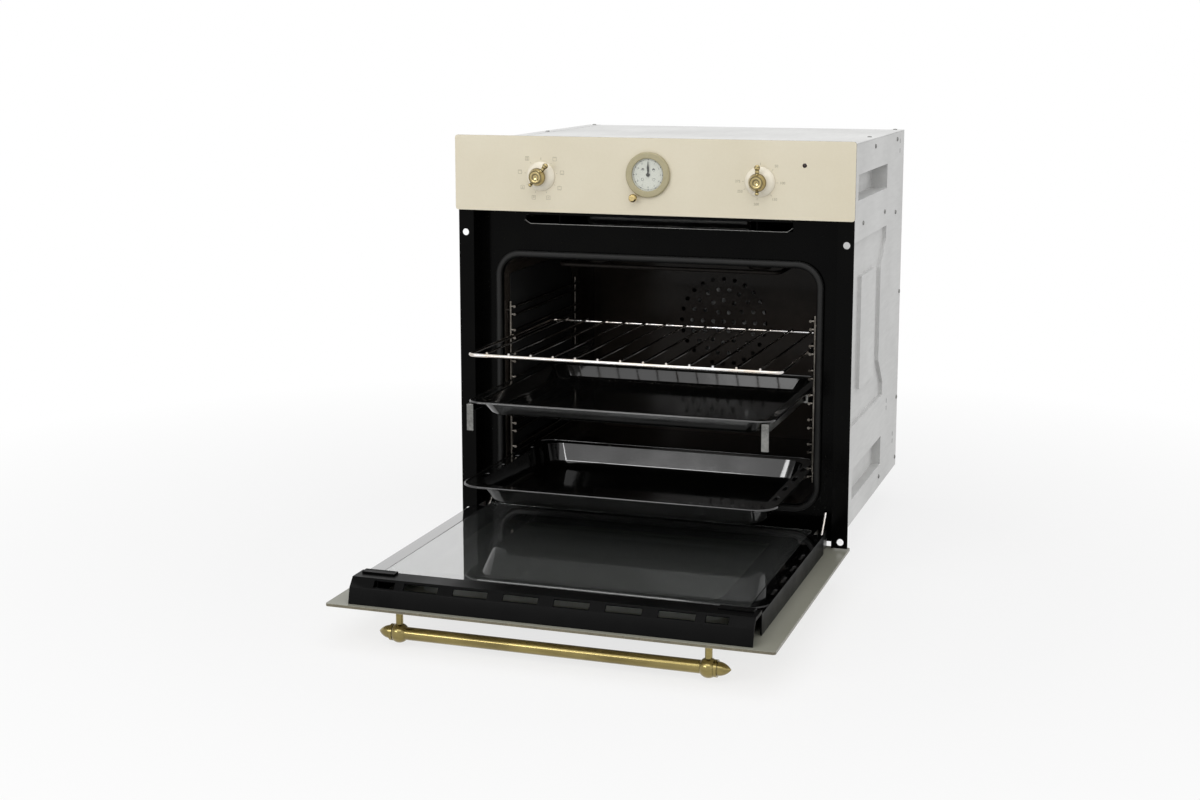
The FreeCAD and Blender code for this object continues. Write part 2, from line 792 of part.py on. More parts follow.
def insulation():
    """Mineral wool wrapped round the cavity, with room for the base element below."""
    body = new_body("cavity_insulation", y="insulation_front")
    fit = "(sheet + seat_clear)"
    inner_foot = "cavity_foot - sheet - element_space"
    inner = rounded(both("half_cavity + " + fit), (inner_foot, "cavity_top + " + fit),
                    "(cavity_corner + %s)" % fit)
    wool = "(sheet + seat_clear + insulation_thick)"
    outer = rounded(both("half_cavity + " + wool),
                    (inner_foot + " - insulation_thick", "cavity_top + " + wool),
                    "(cavity_corner + %s)" % wool)
    pad(body, "XZ_Plane", [outer, inner], "insulation_rear - insulation_front", reverse=True)


def gasket():
    body = new_body("door_gasket", y="recess_depth")
    pad(body, "XZ_Plane", [cavity_outline("(gasket_edge + gasket_width)"), cavity_outline("gasket_edge")],
        "gasket_proud")


# Heat and air

def fan_cover():
    """Shallow pan over the fan, its middle pierced by rings of intake holes."""
    body = new_body("fan_cover", y="cavity_back", z="fan_height")
    rise = ("fan_cover_foot - fan_height", "fan_cover_top - fan_height")
    pad(body, "XZ_Plane", [rounded(both("fan_cover_half"), rise, "fan_cover_corner")], "fan_cover_depth")
    hollow = rounded(both("fan_cover_half - sheet"), (rise[0] + " + sheet", rise[1] + " - sheet"),
                     "(fan_cover_corner - sheet)")
    pocket(body, "XZ_Plane", [hollow], depth="fan_cover_depth - sheet", reverse=True)
    pocket(body, "XZ_Plane", circles=[("0", "0", "fan_hole_radius")])
    for ring in range(1, int(sizes["fan_hole_rings"]) + 1):
        seed = pocket(body, "XZ_Plane", circles=[("%d * fan_hole_pitch" % ring, "0", "fan_hole_radius")])
        repeat_round(body, seed, "Y_Axis", 6 * ring)


def convection_fan():
    body = new_body("convection_fan", y="fan_back", z="fan_height")
    reach = "motor_front - fan_back + motor_length / 2"
    turned(body, [("0", "-fan_blade_width"), ("2 * fan_shaft_radius", "-fan_blade_width"),
                  ("2 * fan_shaft_radius", "-fan_blade_thick"), ("fan_disc_radius", "-fan_blade_thick"),
                  ("fan_disc_radius", "0"), ("fan_shaft_radius", "0"),
                  ("fan_shaft_radius", reach), ("0", reach)])
    blade = pad(body, "XY_Plane", [rectangle(("fan_disc_radius / 3", "fan_disc_radius"),
                                             ("-fan_blade_width", "-fan_blade_thick / 2"))],
                "fan_blade_thick", middle=True)
    repeat_round(body, blade, "Y_Axis", int(sizes["fan_blade_count"]))


def fan_motor():
    can = rod("motor_can", "y", "motor_radius", ("0", "motor_front", "fan_height"), "motor_length")
    bracket = box("motor_bracket_plate", both("motor_bracket / 2"), ("cavity_back + sheet", "motor_front"),
                  ("fan_height - motor_radius", "fan_height + motor_radius"))
    bore = rod("motor_bore", "y", "fan_shaft_radius + shaft_clear", ("0", "cavity_back", "fan_height"),
               "2 * sheet + motor_length * 2 / 3")
    node("fan_motor", cut("fan_motor", fuse("motor_case", [can, bracket]), [bore]))


def bent_tube(label, points, bend, radius):
    """Round tube along straight runs joined by tangent arcs, closed at both ends."""
    path = []
    start = points[0]
    for before, corner, after in zip(points, points[1:], points[2:]):
        come = (corner - before).normalize()
        leave = (after - corner).normalize()
        half_turn = come.getAngle(leave) / 2
        first = corner - come * bend * math.tan(half_turn)
        last = corner + leave * bend * math.tan(half_turn)
        inward = (leave - come).normalize()
        middle = corner + inward * bend * (1 / math.cos(half_turn) - 1)
        path += [Part.LineSegment(start, first).toShape(), Part.Arc(first, middle, last).toShape()]
        start = last
    path.append(Part.LineSegment(start, points[-1]).toShape())
    spine = Part.Wire(path)
    ring = Part.Wire(Part.Circle(points[0], points[1] - points[0], radius).toShape())
    tube = doc.addObject("Part::Feature", label)
    tube.Shape = spine.makePipeShell([ring], True, False)
    return node(label, tube)


def elements():
    """Grill loops under the roof and a base loop below the floor."""
    grill = []
    for side in (-1, 1):
        half = [("element_leg_half", "element_leg_end"), ("element_leg_half", "grill_loop_rear"),
                ("grill_loop_half", "grill_loop_rear"), ("grill_loop_half", "grill_loop_front"),
                ("grill_loop_half + 2 * tube_bend", "grill_loop_front"),
                ("grill_loop_half + 2 * tube_bend", "grill_rear"), ("grill_half", "grill_rear"),
                ("grill_half", "grill_front")]
        run = [Vector(side * number(x), number(y), sizes["grill_height"]) for x, y in half]
        grill += run if side < 0 else run[::-1]
    bent_tube("grill_element", grill, sizes["tube_bend"] * 0.9, sizes["tube_radius"])
    loop = [("-element_leg_half", "element_leg_end"), ("-element_leg_half", "base_loop_rear"),
            ("-base_loop_half", "base_loop_rear"), ("-base_loop_half", "base_loop_front"),
            ("base_loop_half", "base_loop_front"), ("base_loop_half", "base_loop_rear"),
            ("element_leg_half", "base_loop_rear"), ("element_leg_half", "element_leg_end")]
    points = [Vector(number(x), number(y), sizes["base_tube_z"]) for x, y in loop]
    bent_tube("base_element", points, sizes["tube_bend"], sizes["tube_radius"])


def lamp():
    holder = new_body("lamp_holder", x="-lamp_side", y="cavity_back", z="lamp_height")
    turned(holder, [("0", "0"), ("lamp_neck", "0"), ("lamp_neck", "sheet + seat_clear"),
                    ("lamp_radius", "sheet + seat_clear"), ("lamp_radius", "lamp_holder_length / 2"),
                    ("lamp_neck", "lamp_holder_length"), ("0", "lamp_holder_length")])
    glass = new_body("lamp_glass", x="-lamp_side", y="cavity_back", z="lamp_height")
    bulge = "(lamp_radius * lamp_radius + lamp_dome * lamp_dome) / (2 * lamp_dome)"
    turned(glass, [("0", "0"), ("0", "-lamp_dome", bulge, 1), ("lamp_radius", "0")])


def blower():
    """Cross-flow blower above the cavity, blowing out under the control panel."""
    foot, top = "duct_floor_height + sheet", "duct_floor_height + sheet + blower_height"
    case = box("blower_outer", both("blower_half"), ("plate_back", "blower_rear"), (foot, top))
    hollow = box("blower_inner", both("blower_half - sheet"), ("plate_back", "blower_rear - sheet"),
                 (foot + " + sheet", top + " - sheet"))
    intake = box("blower_intake", both("blower_half - edge_flange"),
                 ("blower_rear - 2 * sheet", "blower_rear"),
                 (foot + " + edge_flange", top + " - edge_flange"))
    motor = rod("blower_motor", "x", "blower_motor_radius", ("blower_half", "wheel_y", "wheel_z"),
                "blower_motor_length")
    bore = rod("blower_bore", "x", "wheel_shaft_radius + shaft_clear", ("-blower_half", "wheel_y", "wheel_z"),
               "2 * blower_half + blower_motor_length / 2")
    shell = cut("blower_shell", case, [hollow, intake])
    node("blower_housing", cut("blower_housing", fuse("blower_case", [shell, motor]), [bore]))
    wheel = new_body("blower_wheel", y="wheel_y", z="wheel_z")
    shaft = "blower_half + blower_motor_length / 4"
    turned(wheel, [("-blower_half", "0"), (shaft, "0"), (shaft, "wheel_shaft_radius"),
                   ("wheel_half", "wheel_shaft_radius"), ("wheel_half", "wheel_radius"),
                   ("-wheel_half", "wheel_radius"), ("-wheel_half", "wheel_shaft_radius"),
                   ("-blower_half", "wheel_shaft_radius")], axis="H_Axis")
    slot = rectangle(both("wheel_half - 4 * sheet"),
                     ("wheel_radius - wheel_slot", "wheel_radius + wheel_slot"))
    groove = pocket(wheel, "XZ_Plane", [slot], depth="wheel_slot")
    groove.SideType = "Symmetric"
    repeat_round(wheel, groove, "X_Axis", int(sizes["wheel_slots"]))


# Shelf ladders, runners and shelves

def shelf_ladders():
    """Chromed wire ladder: two uprights and a pair of rungs at each level, with a liner behind it."""
    wires = []
    last_level = "first_level + (level_count - 1) * level_pitch"
    foot = "first_level - ladder_overrun"
    rise = "(level_count - 1) * level_pitch + 2 * ladder_overrun"
    for end in ("ladder_front", "ladder_rear"):
        wires.append(rod("upright", "z", "upright_radius", ("upright_half", end, foot), rise))
        for level in ("first_level", last_level):
            wires.append(rod("peg", "x", "upright_radius", ("upright_half", end, level), "upright_set"))
    for level in range(int(sizes["level_count"])):
        for pair in (-1, 1):
            height = "first_level + %d * level_pitch + %d * rung_gap / 2" % (level, pair)
            wires.append(rod("rung", "y", "rung_radius", ("rung_half", "ladder_front - rung_radius", height),
                             "ladder_length + 2 * rung_radius"))
            for end in ("ladder_front", "ladder_rear"):
                wires.append(rod("rung_end", "x", "rung_radius", ("rung_half", end, height), "rung_reach"))
    ladder = node("right_shelf_ladder", fuse("right_shelf_ladder", wires))
    node("left_shelf_ladder", mirror_image("left_shelf_ladder", ladder))
    liner = box("right_liner", ("liner_outer - liner_thick", "liner_outer"),
                ("ladder_front + liner_margin", "ladder_rear - liner_margin"),
                ("cavity_foot + cavity_corner", "cavity_top - cavity_corner"))
    node("right_liner", liner)
    node("left_liner", mirror_image("left_liner", liner))


def runners():
    """Telescopic runner: a rail clipped inside the rungs and a slide that carries the baking tray."""
    rise = ("tray_z - rail_height / 2", "tray_z + rail_height / 2 - seat_clear")
    reach = ("rail_front", "rail_front + rail_length")
    rail = box("rail_bar", ("rail_inner", "rail_outer"), reach, rise)
    groove = box("rail_groove_cut", ("rail_inner", "rail_inner + rail_groove"), reach,
                 (rise[0] + " + rail_lip", rise[1] + " - rail_lip"))
    right_rail = node("right_runner_rail", cut("right_runner_rail", rail, [groove]))
    node("left_runner_rail", mirror_image("left_runner_rail", right_rail))
    front = "tray_front - seat_clear"
    bar = box("slide_bar", ("slide_inner", "slide_outer"), (front, "tray_front + tray_length"),
              ("tray_z - slide_height / 2", "slide_top"))
    tab = box("slide_tab", ("slide_outer - tab_width", "slide_outer"), (front + " - tab_thick", front),
              ("tray_z - slide_height / 2 - tab_drop", "slide_top"))
    channel = box("slide_groove_cut", ("slide_inner", "slide_inner + rail_groove"),
                  ("tray_front", "tray_front + tray_length"),
                  ("tray_z - slide_height / 2 + rail_lip", "slide_top - rail_lip"))
    right_slide = cut("right_runner_slide", fuse("slide_body", [bar, tab]), [channel])
    node("right_runner_slide", right_slide)
    node("left_runner_slide", mirror_image("left_runner_slide", right_slide))


def wire_rack():
    """Round-cornered rod frame with lengthwise wires welded on top."""
    rear = "rack_front + rack_length"
    turn = "rack_corner"
    rods = []
    for y in ("rack_front", rear):
        rods.append(rod("rack_bar", "x", "rack_rod_radius", ("-rack_half + " + turn, y, "rack_z"),
                        "2 * (rack_half - rack_corner)"))
    for side in (-1, 1):
        start = ("%d * rack_half" % side, "rack_front + " + turn, "rack_z")
        rods.append(rod("rack_side", "y", "rack_rod_radius", start, "rack_length - 2 * rack_corner"))
    corners = [(1, rear, -1, 0), (-1, rear, -1, 90), (-1, "rack_front", 1, 180), (1, "rack_front", 1, 270)]
    for side, y, inward, angle in corners:
        bend = doc.addObject("Part::Torus", "rack_bend")
        bend.Placement = Placement(Vector(), Rotation(Vector(0, 0, 1), angle))
        bend.Angle3 = 90
        bind(bend, "Radius1", turn)
        bind(bend, "Radius2", "rack_rod_radius")
        rods.append(place(bend, "%d * (rack_half - rack_corner)" % side,
                          "(%s) + %d * rack_corner" % (y, inward), "rack_z"))
    lift = "rack_z + rack_rod_radius + rack_wire_radius - rack_weld"
    for step in range(int(sizes["rack_wires"])):
        x = "(%d - (rack_wires - 1) / 2) * rack_wire_pitch" % step
        rods.append(rod("rack_wire", "y", "rack_wire_radius", (x, "rack_front", lift), "rack_length"))
    node("wire_rack", fuse("wire_rack", rods))


def rounded_wire(half, front, rear, corner, height):
    """Level wire of a rectangle with round corners, as lines and arcs."""
    x, y0, y1 = half - corner, front + corner, rear - corner
    edges = []
    for sx, sy, middle in ((x, y0, -45), (x, y1, 45), (-x, y1, 135), (-x, y0, 225)):
        angles = [math.radians(middle + turn) for turn in (-45, 0, 45)]
        rounds = [(corner * math.cos(angle), corner * math.sin(angle)) for angle in angles]
        points = [Vector(sx + across, sy + along, height) for across, along in rounds]
        if edges:
            edges.append(Part.LineSegment(edges[-1].Vertexes[-1].Point, points[0]).toShape())
        edges.append(Part.Arc(*points).toShape())
    edges.append(Part.LineSegment(edges[-1].Vertexes[-1].Point, edges[0].Vertexes[0].Point).toShape())
    return Part.Wire(edges)


def pan(kind, rim_z, slots=()):
    """Enamelled pan: flat rim and floor, walls that lean in, the front wall by its own slope."""
    half, front, length = (sizes[kind + key] for key in ("_half", "_front", "_length"))
    depth, rim, corner = (sizes[kind + key] for key in ("_depth", "_rim", "_corner"))
    slope, draft = (sizes[kind + key] for key in ("_slope", "_draft"))
    wall = sizes["tray_wall"]
    rear = front + length

    def loop(inset, height, radius, lean=0):
        return rounded_wire(half - inset, front + inset + lean, rear - inset, radius, height)

    top = rim_z + wall
    foot = top - depth
    lean = slope - draft
    flange = Part.Face(loop(0, rim_z, corner)).extrude(Vector(0, 0, wall))
    outer_loops = [loop(rim - wall, top, corner - wall), loop(rim + draft - wall, foot, corner, lean)]
    inner_loops = [loop(rim, top, corner - wall), loop(rim + draft, foot + wall, corner, lean)]
    outer = Part.makeLoft(outer_loops, True)
    inner = Part.makeLoft(inner_loops, True)
    shape = flange.fuse(outer).cut(inner).cut(list(slots)).removeSplitter()
    tray = doc.addObject("Part::Feature", kind)
    tray.Shape = shape
    return tray


def trays():
    node("baking_tray", pan("tray", sizes["tray_rim_z"]))
    slots = []
    width, length = sizes["deep_slot_width"], sizes["deep_slot_length"]
    run = "((deep_slot_count - 1) * deep_slot_pitch + deep_slot_length)"
    first = number("deep_front + (deep_length - %s) / 2" % run)
    for side in (-1, 1):
        x = side * number("deep_half - deep_rim / 2 - deep_slot_width / 2") - width / 2
        for step in range(int(sizes["deep_slot_count"])):
            corner = Vector(x, first + step * sizes["deep_slot_pitch"], sizes["deep_rim_z"])
            slots.append(Part.makeBox(width, length, sizes["tray_wall"], corner))
    node("deep_tray", pan("deep", sizes["deep_rim_z"], slots))


# Door, drawn open

def door_glass():
    outer = new_body("door_outer_glass", z="glass_low")
    outline = rounded(both("half_front"), ("door_front", "door_back"), "glass_corner")
    pad(outer, "XY_Plane", [outline], "glass_thick")
    hole = "handle_post_radius + seat_clear"
    pocket(outer, "XY_Plane", circles=[("-handle_half", "handle_y", hole), ("handle_half", "handle_y", hole)])
    inner = new_body("door_inner_glass", z="inner_low")
    pad(inner, "XY_Plane", [rounded(both("inner_glass_half"), ("inner_glass_front", "inner_glass_back"),
                                    "glass_corner")], "inner_glass_thick")


def door_profiles():
    """Top profile with a vented slope, two hollow sides and a bottom channel."""
    wall = "profile_wall"
    seat = "inner_high + seat_clear"
    section = [("profile_foot_y", "glass_high"), ("profile_knee_y", "profile_knee_z"),
               ("profile_lip_y", "profile_high"), ("profile_land_y", "profile_high"),
               ("profile_land_y", seat), ("profile_lip_y", seat),
               ("profile_knee_y + " + wall, "profile_knee_z - " + wall),
               ("profile_foot_y + " + wall, "glass_high")]
    bar = doc.addObject("PartDesign::Body", "top_profile_bar")
    pad(bar, "YZ_Plane", [section], "2 * door_half", middle=True)
    span = "(air_slot_count - 1) / 2"
    middles = ["(%d - %s) * air_slot_pitch" % (step, span) for step in range(int(sizes["air_slot_count"]))]
    lengths = ["air_slot_long"] * len(middles)
    for side in (-1, 1):
        middles.append("%d * (%s * air_slot_pitch + air_slot_pitch * 3 / 4)" % (side, span))
        lengths.append("air_slot_short")
    slots = []
    foot = "profile_knee_z + air_slot_foot"
    for middle, length in zip(middles, lengths):
        slots.append(box("air_slot", ("%s - %s / 2" % (middle, length), "%s + %s / 2" % (middle, length)),
                         ("profile_foot_y", "profile_lip_y + " + wall), (foot, foot + " + air_slot_height")))
    node("door_top_profile", cut("door_top_profile", bar, slots))
    run = ("profile_land_y", "side_profile_back")
    inner_x = "inner_glass_half + seat_clear"
    block = box("side_block", (inner_x, "door_half"), run, ("glass_high", "inner_high"))
    hollow = box("side_hollow", (inner_x + " + " + wall, "door_half - " + wall), run,
                 ("glass_high", "inner_high - " + wall))
    right = node("door_right_profile", cut("door_right_profile", block, [hollow]))
    node("door_left_profile", mirror_image("door_left_profile", right))
    reach = ("bottom_profile_front", "inner_glass_back")
    beam = box("bottom_block", both("inner_glass_half"), reach, ("glass_high", "inner_low - seat_clear"))
    inside = box("bottom_hollow", both("inner_glass_half"),
                 ("bottom_profile_front", "inner_glass_back - " + wall),
                 ("glass_high", "inner_low - seat_clear - " + wall))
    node("door_bottom_profile", cut("door_bottom_profile", beam, [inside]))


def hinges():
    """Arm hooked in the frame, and a door channel that turns on it by a pin."""
    arm = new_body("right_hinge_arm", x="hinge_channel_half")
    outline = [("pivot_y", "pivot_z - hinge_eye_radius"), ("arm_knee", "arm_foot"), ("arm_back", "arm_foot"),
               ("arm_back", "arm_top"), ("arm_shoulder", "arm_top"),
               ("pivot_y - hinge_eye_radius * 2 / 3", "pivot_z + hinge_eye_radius * 2 / 3")]
    pad(arm, "YZ_Plane", [outline], "arm_thick", middle=True)
    pad(arm, "YZ_Plane", [], "arm_thick", middle=True, circles=[("pivot_y", "pivot_z", "hinge_eye_radius")])
    pocket(arm, "YZ_Plane", circles=[("pivot_y", "pivot_z", "hinge_pin_radius + shaft_clear")])
    node("left_hinge_arm", mirror_image("left_hinge_arm", arm))
    low = "hinge_channel_half - hinge_channel_width / 2"
    high = "hinge_channel_half + hinge_channel_width / 2"
    run = ("hinge_channel_front", "hinge_channel_back")
    wall = "hinge_channel_wall"
    outer = box("channel_outer", (low, high), run, ("glass_high", "hinge_channel_top"))
    inner = box("channel_inner", (low + " + " + wall, high + " - " + wall), run,
                ("glass_high + " + wall, "hinge_channel_top"))
    clear = box("channel_foot_cut", (low + " + " + wall, high + " - " + wall),
                ("pivot_y - 2 * hinge_eye_radius", "hinge_channel_back"), ("glass_high", "hinge_channel_top"))
    pin = rod("hinge_pin", "x", "hinge_pin_radius", (low, "pivot_y", "pivot_z"), "hinge_channel_width")
    channel = fuse("right_hinge_channel", [cut("channel_walls", outer, [inner, clear]), pin])
    node("right_hinge_channel", channel)
    node("left_hinge_channel", mirror_image("left_hinge_channel", channel))


def handle():
    """Brass bar between two ball mounts on posts, each ended by a ringed bullet finial."""
    bar = new_body("handle_bar", y="handle_y", z="handle_z")
    neck = both("(handle_half - handle_ball_radius * 2 / 3)")
    turned(bar, rectangle(neck, ("0", "handle_bar_radius")), axis="H_Axis")
    mounts = []
    for side in (-1, 1):
        x = "%d * handle_half" % side
        centre = (x, "handle_y", "handle_z")
        knob_ball = ball("mount_ball", "handle_ball_radius", centre)
        post = rod("mount_post", "z", "handle_post_radius", centre, "handle_drop + glass_thick")
        flange = rod("mount_flange", "z", "handle_flange_radius",
                     (x, "handle_y", "glass_low - handle_flange_thick"), "handle_flange_thick")
        bore_start = (neck[0], "handle_y", "handle_z")
        bore = rod("mount_bore", "x", "handle_bar_radius", bore_start, "2 * " + neck[1])
        mounts.append(cut("mount", fuse("mount_solid", [knob_ball, post, flange]), [bore]))
    node("handle_mounts", fuse("handle_mounts", mounts))
    finial = place(doc.addObject("PartDesign::Body", "finial"), "handle_half", "handle_y", "handle_z")
    ring_start = "handle_ball_radius * 3 / 5"
    ring_end = ring_start + " + handle_ring_thick"
    ogive = "(finial_length * finial_length + finial_radius * finial_radius) / (2 * finial_radius)"
    turned(finial, [("handle_ball_radius", "0"), (ring_end + " + finial_length", "0", ogive, 1),
                    (ring_end, "finial_radius"), (ring_end, "handle_ring_radius"),
                    (ring_start, "handle_ring_radius"),
                    (ring_start, "handle_ball_radius * 4 / 5", "handle_ball_radius", -1)], axis="H_Axis")
    node("handle_finials", fuse("handle_finials", [finial, mirror_image("finial_image", finial)]))


# Control panel

def panel():
    glass = new_body("control_panel", y="panel_back")
    outline = rounded(both("half_front"), ("panel_foot", "front_top"), "glass_corner")
    pad(glass, "XZ_Plane", [outline], "glass_thick")
    holes = [("-knob_side", "knob_height", "stem_hole"), ("knob_side", "knob_height", "stem_hole"),
             ("0", "clock_height", "clock_hole"),
             ("set_knob_x", "set_knob_z", "set_stem_radius + seat_clear"),
             ("pilot_side", "pilot_height", "pilot_radius + seat_clear")]
    pocket(glass, "XZ_Plane", circles=holes)
    carrier = new_body("panel_carrier", y="panel_back")
    rise = ("panel_foot + carrier_return", "front_top - carrier_return")
    pad(carrier, "XZ_Plane", [rectangle(both("carrier_half"), rise)], "front_gap", reverse=True)
    inner = (rise[0] + " + sheet", rise[1] + " - sheet")
    pocket(carrier, "XZ_Plane", [rectangle(both("carrier_half - sheet"), inner)], depth="front_gap - sheet")
    carrier.Tip.Profile[0].AttachmentOffset = Placement(Vector(0, 0, -sizes["sheet"]), Rotation())
    pocket(carrier, "XZ_Plane", circles=holes)


def knob(name, side, turn):
    """Cream skirt on the panel and a brass hub with a lever and a ball tail, both on one stem."""
    x = "%d * knob_side" % side
    skirt = new_body(name + "_skirt", x=x, y="panel_face - seat_clear", z="knob_height")
    turned(skirt, [("stem_radius", "0"), ("skirt_radius", "0"),
                   ("skirt_radius", "-skirt_edge", "skirt_round", -1),
                   ("hub_waist", "-skirt_depth"), ("stem_radius", "-skirt_depth")])
    front = "-skirt_depth - hub_depth"
    reach = "glass_thick + sheet + stem_depth + seat_clear"
    hub = doc.addObject("PartDesign::Body", name + "_hub")
    turned(hub, [("0", reach), ("stem_radius", reach), ("stem_radius", "-skirt_depth"),
                 ("hub_waist", "-skirt_depth"), ("hub_radius", "-skirt_depth - hub_depth / 2"),
                 ("hub_waist", front), ("hub_waist - hub_dish", front), ("0", front + " + hub_dish")])
    lift = "-skirt_depth - lever_lift"
    lever = doc.addObject("Part::Cone", name + "_lever_bar")
    bind(lever, "Radius1", "lever_root")
    bind(lever, "Radius2", "lever_ball * 3 / 4")
    bind(lever, "Height", "lever_reach - lever_ball")
    place(lever, "0", lift, "0")
    tip = ball(name + "_lever_tip", "lever_ball", ("0", lift, "lever_reach - lever_ball"))
    stalk = rod(name + "_tail_bar", "z", "lever_root * 3 / 4", ("0", lift, "-tail_reach"), "tail_reach")
    tail = ball(name + "_tail_ball", "tail_ball", ("0", lift, "-tail_reach"))
    grip = fuse(name + "_grip", [hub, lever, tip, stalk, tail])
    grip.Placement = Placement(Vector(), Rotation(Vector(0, 1, 0), turn))
    node(name + "_grip", place(grip, x, "panel_face - seat_clear", "knob_height"))


def switches():
    face = "panel_back + sheet"
    case = box("switch_case", ("-knob_side - switch_size / 2", "-knob_side + switch_size / 2"),
               (face, face + " + switch_depth"),
               ("knob_height - switch_size / 2", "knob_height + switch_size / 2"))
    bore = rod("switch_bore", "y", "stem_radius + shaft_clear", ("-knob_side", face, "knob_height"),
               "stem_depth + seat_clear")
    node("selector_switch", cut("selector_switch", case, [bore]))
    can = rod("thermostat_can", "y", "thermostat_radius", ("knob_side", face, "knob_height"), "switch_depth")
    hole = rod("thermostat_bore", "y", "stem_radius + shaft_clear", ("knob_side", face, "knob_height"),
               "stem_depth + seat_clear")
    node("thermostat", cut("thermostat", can, [hole]))


def clock():
    """Movement, dial, bezel and glass, with two hands on one arbor and a setting knob."""
    centre = ("0", "panel_face", "clock_height")
    movement = rod("movement_case", "y", "clock_case_radius", centre, "clock_case_depth")
    wing = box("movement_wing", ("set_knob_x - set_knob_radius", "0"),
               ("panel_back + sheet", "clock_case_depth / 2"),
               ("set_knob_z - set_knob_radius", "clock_height"))
    arbor_hole = rod("arbor_hole", "y", "arbor_radius + shaft_clear", centre, "clock_case_depth / 2")
    stem_hole = rod("set_stem_hole", "y", "set_stem_radius + shaft_clear",
                    ("set_knob_x", "panel_back", "set_knob_z"), "clock_case_depth / 3")
    case = fuse("movement", [movement, wing])
    node("clock_movement", cut("clock_movement", case, [arbor_hole, stem_hole]))
    bezel = new_body("clock_bezel", y="panel_face", z="clock_height")
    rebate = "(dial_radius + seat_clear)"
    turned(bezel, [(rebate, "0"), ("bezel_radius", "0"), ("bezel_radius", "-bezel_depth * 3 / 4"),
                   ("bezel_radius - bezel_depth / 4", "-bezel_depth"), ("bezel_bore + sheet", "-bezel_depth"),
                   ("bezel_bore", "-bezel_depth + sheet"), ("bezel_bore", "bezel_step"),
                   (rebate, "bezel_step")])
    arbor_fit = ("0", "0", "arbor_radius + shaft_clear")
    dial = new_body("clock_dial", y="panel_face", z="clock_height")
    pad(dial, "XZ_Plane", [], "dial_thick", circles=[("0", "0", "dial_radius"), arbor_fit])
    cover = new_body("clock_glass", y="clock_glass_back", z="clock_height")
    pad(cover, "XZ_Plane", [], "clock_glass_thick", circles=[("0", "0", "dial_radius")])
    pocket(clock_hand("hour_hand", "hour_face", "hour_reach"), "XZ_Plane", circles=[arbor_fit])
    pad(clock_hand("minute_hand", "minute_face", "minute_reach"), "XZ_Plane", [], "clock_case_depth / 4",
        reverse=True, circles=[("0", "0", "arbor_radius")])


def clock_hand(label, face, reach):
    """Leaf-shaped hand round its hub, pointing up."""
    hand = new_body(label, y=face + " + hand_thick", z="clock_height")
    half = "%s / 2" % reach
    leaf = [("0", "-hour_hub"), ("hand_width / 2", half), ("0", reach), ("-hand_width / 2", half)]
    pad(hand, "XZ_Plane", [], "hand_thick", circles=[("0", "0", "hour_hub")])
    pad(hand, "XZ_Plane", [leaf], "hand_thick")
    return hand


def small_controls():
    """Clock setting knob and pilot lamp."""
    set_knob = new_body("clock_set_knob", x="set_knob_x", y="panel_face", z="set_knob_z")
    head, tail = "-set_stem_length - set_knob_depth", "glass_thick + clock_case_depth / 4"
    turned(set_knob, [("0", head), ("set_knob_radius * 2 / 3", head),
                      ("set_knob_radius", head + " + set_knob_depth / 3"),
                      ("set_knob_radius", "-set_stem_length - set_knob_depth / 4"),
                      ("set_stem_radius", "-set_stem_length"), ("set_stem_radius", tail), ("0", tail)])
    pilot = new_body("pilot_lamp", x="pilot_side", y="panel_face", z="pilot_height")
    turned(pilot, [("0", "-pilot_head"), ("pilot_radius", "-pilot_head / 3"), ("pilot_radius", "pilot_depth"),
                   ("0", "pilot_depth")])


def check_and_write():
    """Stop if anything failed, then write one file for each piece."""
    doc.recompute()
    broken = [item.Name for item in doc.Objects if {"Invalid", "Error"} & set(item.State)]
    broken += [label for label, piece in nodes.items() if piece.Shape.isNull() or not piece.Shape.isValid()]
    if broken:
        raise RuntimeError("not built: " + ", ".join(broken))
    os.makedirs("parts", exist_ok=True)
    for label, piece in nodes.items():
        piece.Shape.exportStep("parts/%s.step" % label)
    print("%d pieces written" % len(nodes))


body_panels()
terminal_box()
front_frame()
cavity()
insulation()
gasket()
fan_cover()
convection_fan()
fan_motor()
elements()
lamp()
blower()
shelf_ladders()
runners()
wire_rack()
trays()
door_glass()
door_profiles()
hinges()
handle()
panel()
knob("selector", -1, sizes["selector_turn"])
knob("thermostat", 1, 0)
switches()
clock()
small_controls()
check_and_write()
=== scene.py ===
import json
import math

import bmesh
import bpy
from mathutils import Matrix, Vector

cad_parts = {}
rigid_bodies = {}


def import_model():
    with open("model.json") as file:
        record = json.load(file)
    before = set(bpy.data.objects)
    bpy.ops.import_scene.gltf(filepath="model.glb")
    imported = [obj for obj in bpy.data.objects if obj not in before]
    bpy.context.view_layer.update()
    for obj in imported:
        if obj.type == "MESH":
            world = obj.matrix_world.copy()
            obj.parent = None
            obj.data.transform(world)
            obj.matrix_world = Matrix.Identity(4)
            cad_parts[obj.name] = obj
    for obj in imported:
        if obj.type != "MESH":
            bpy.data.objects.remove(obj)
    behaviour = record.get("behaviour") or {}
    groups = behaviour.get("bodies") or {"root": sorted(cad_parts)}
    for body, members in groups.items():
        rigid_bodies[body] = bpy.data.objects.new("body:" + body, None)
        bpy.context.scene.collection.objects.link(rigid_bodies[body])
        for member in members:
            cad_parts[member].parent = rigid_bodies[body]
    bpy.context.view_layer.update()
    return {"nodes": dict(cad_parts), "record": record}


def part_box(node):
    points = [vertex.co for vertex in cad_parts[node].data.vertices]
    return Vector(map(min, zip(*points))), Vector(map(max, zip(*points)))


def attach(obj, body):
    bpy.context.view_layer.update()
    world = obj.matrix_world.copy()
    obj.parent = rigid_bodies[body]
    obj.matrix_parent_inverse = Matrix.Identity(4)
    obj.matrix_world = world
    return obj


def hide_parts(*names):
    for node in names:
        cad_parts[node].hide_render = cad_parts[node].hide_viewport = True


bpy.ops.object.select_all(action="SELECT")
bpy.ops.object.delete()                          # start from an empty scene
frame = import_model()
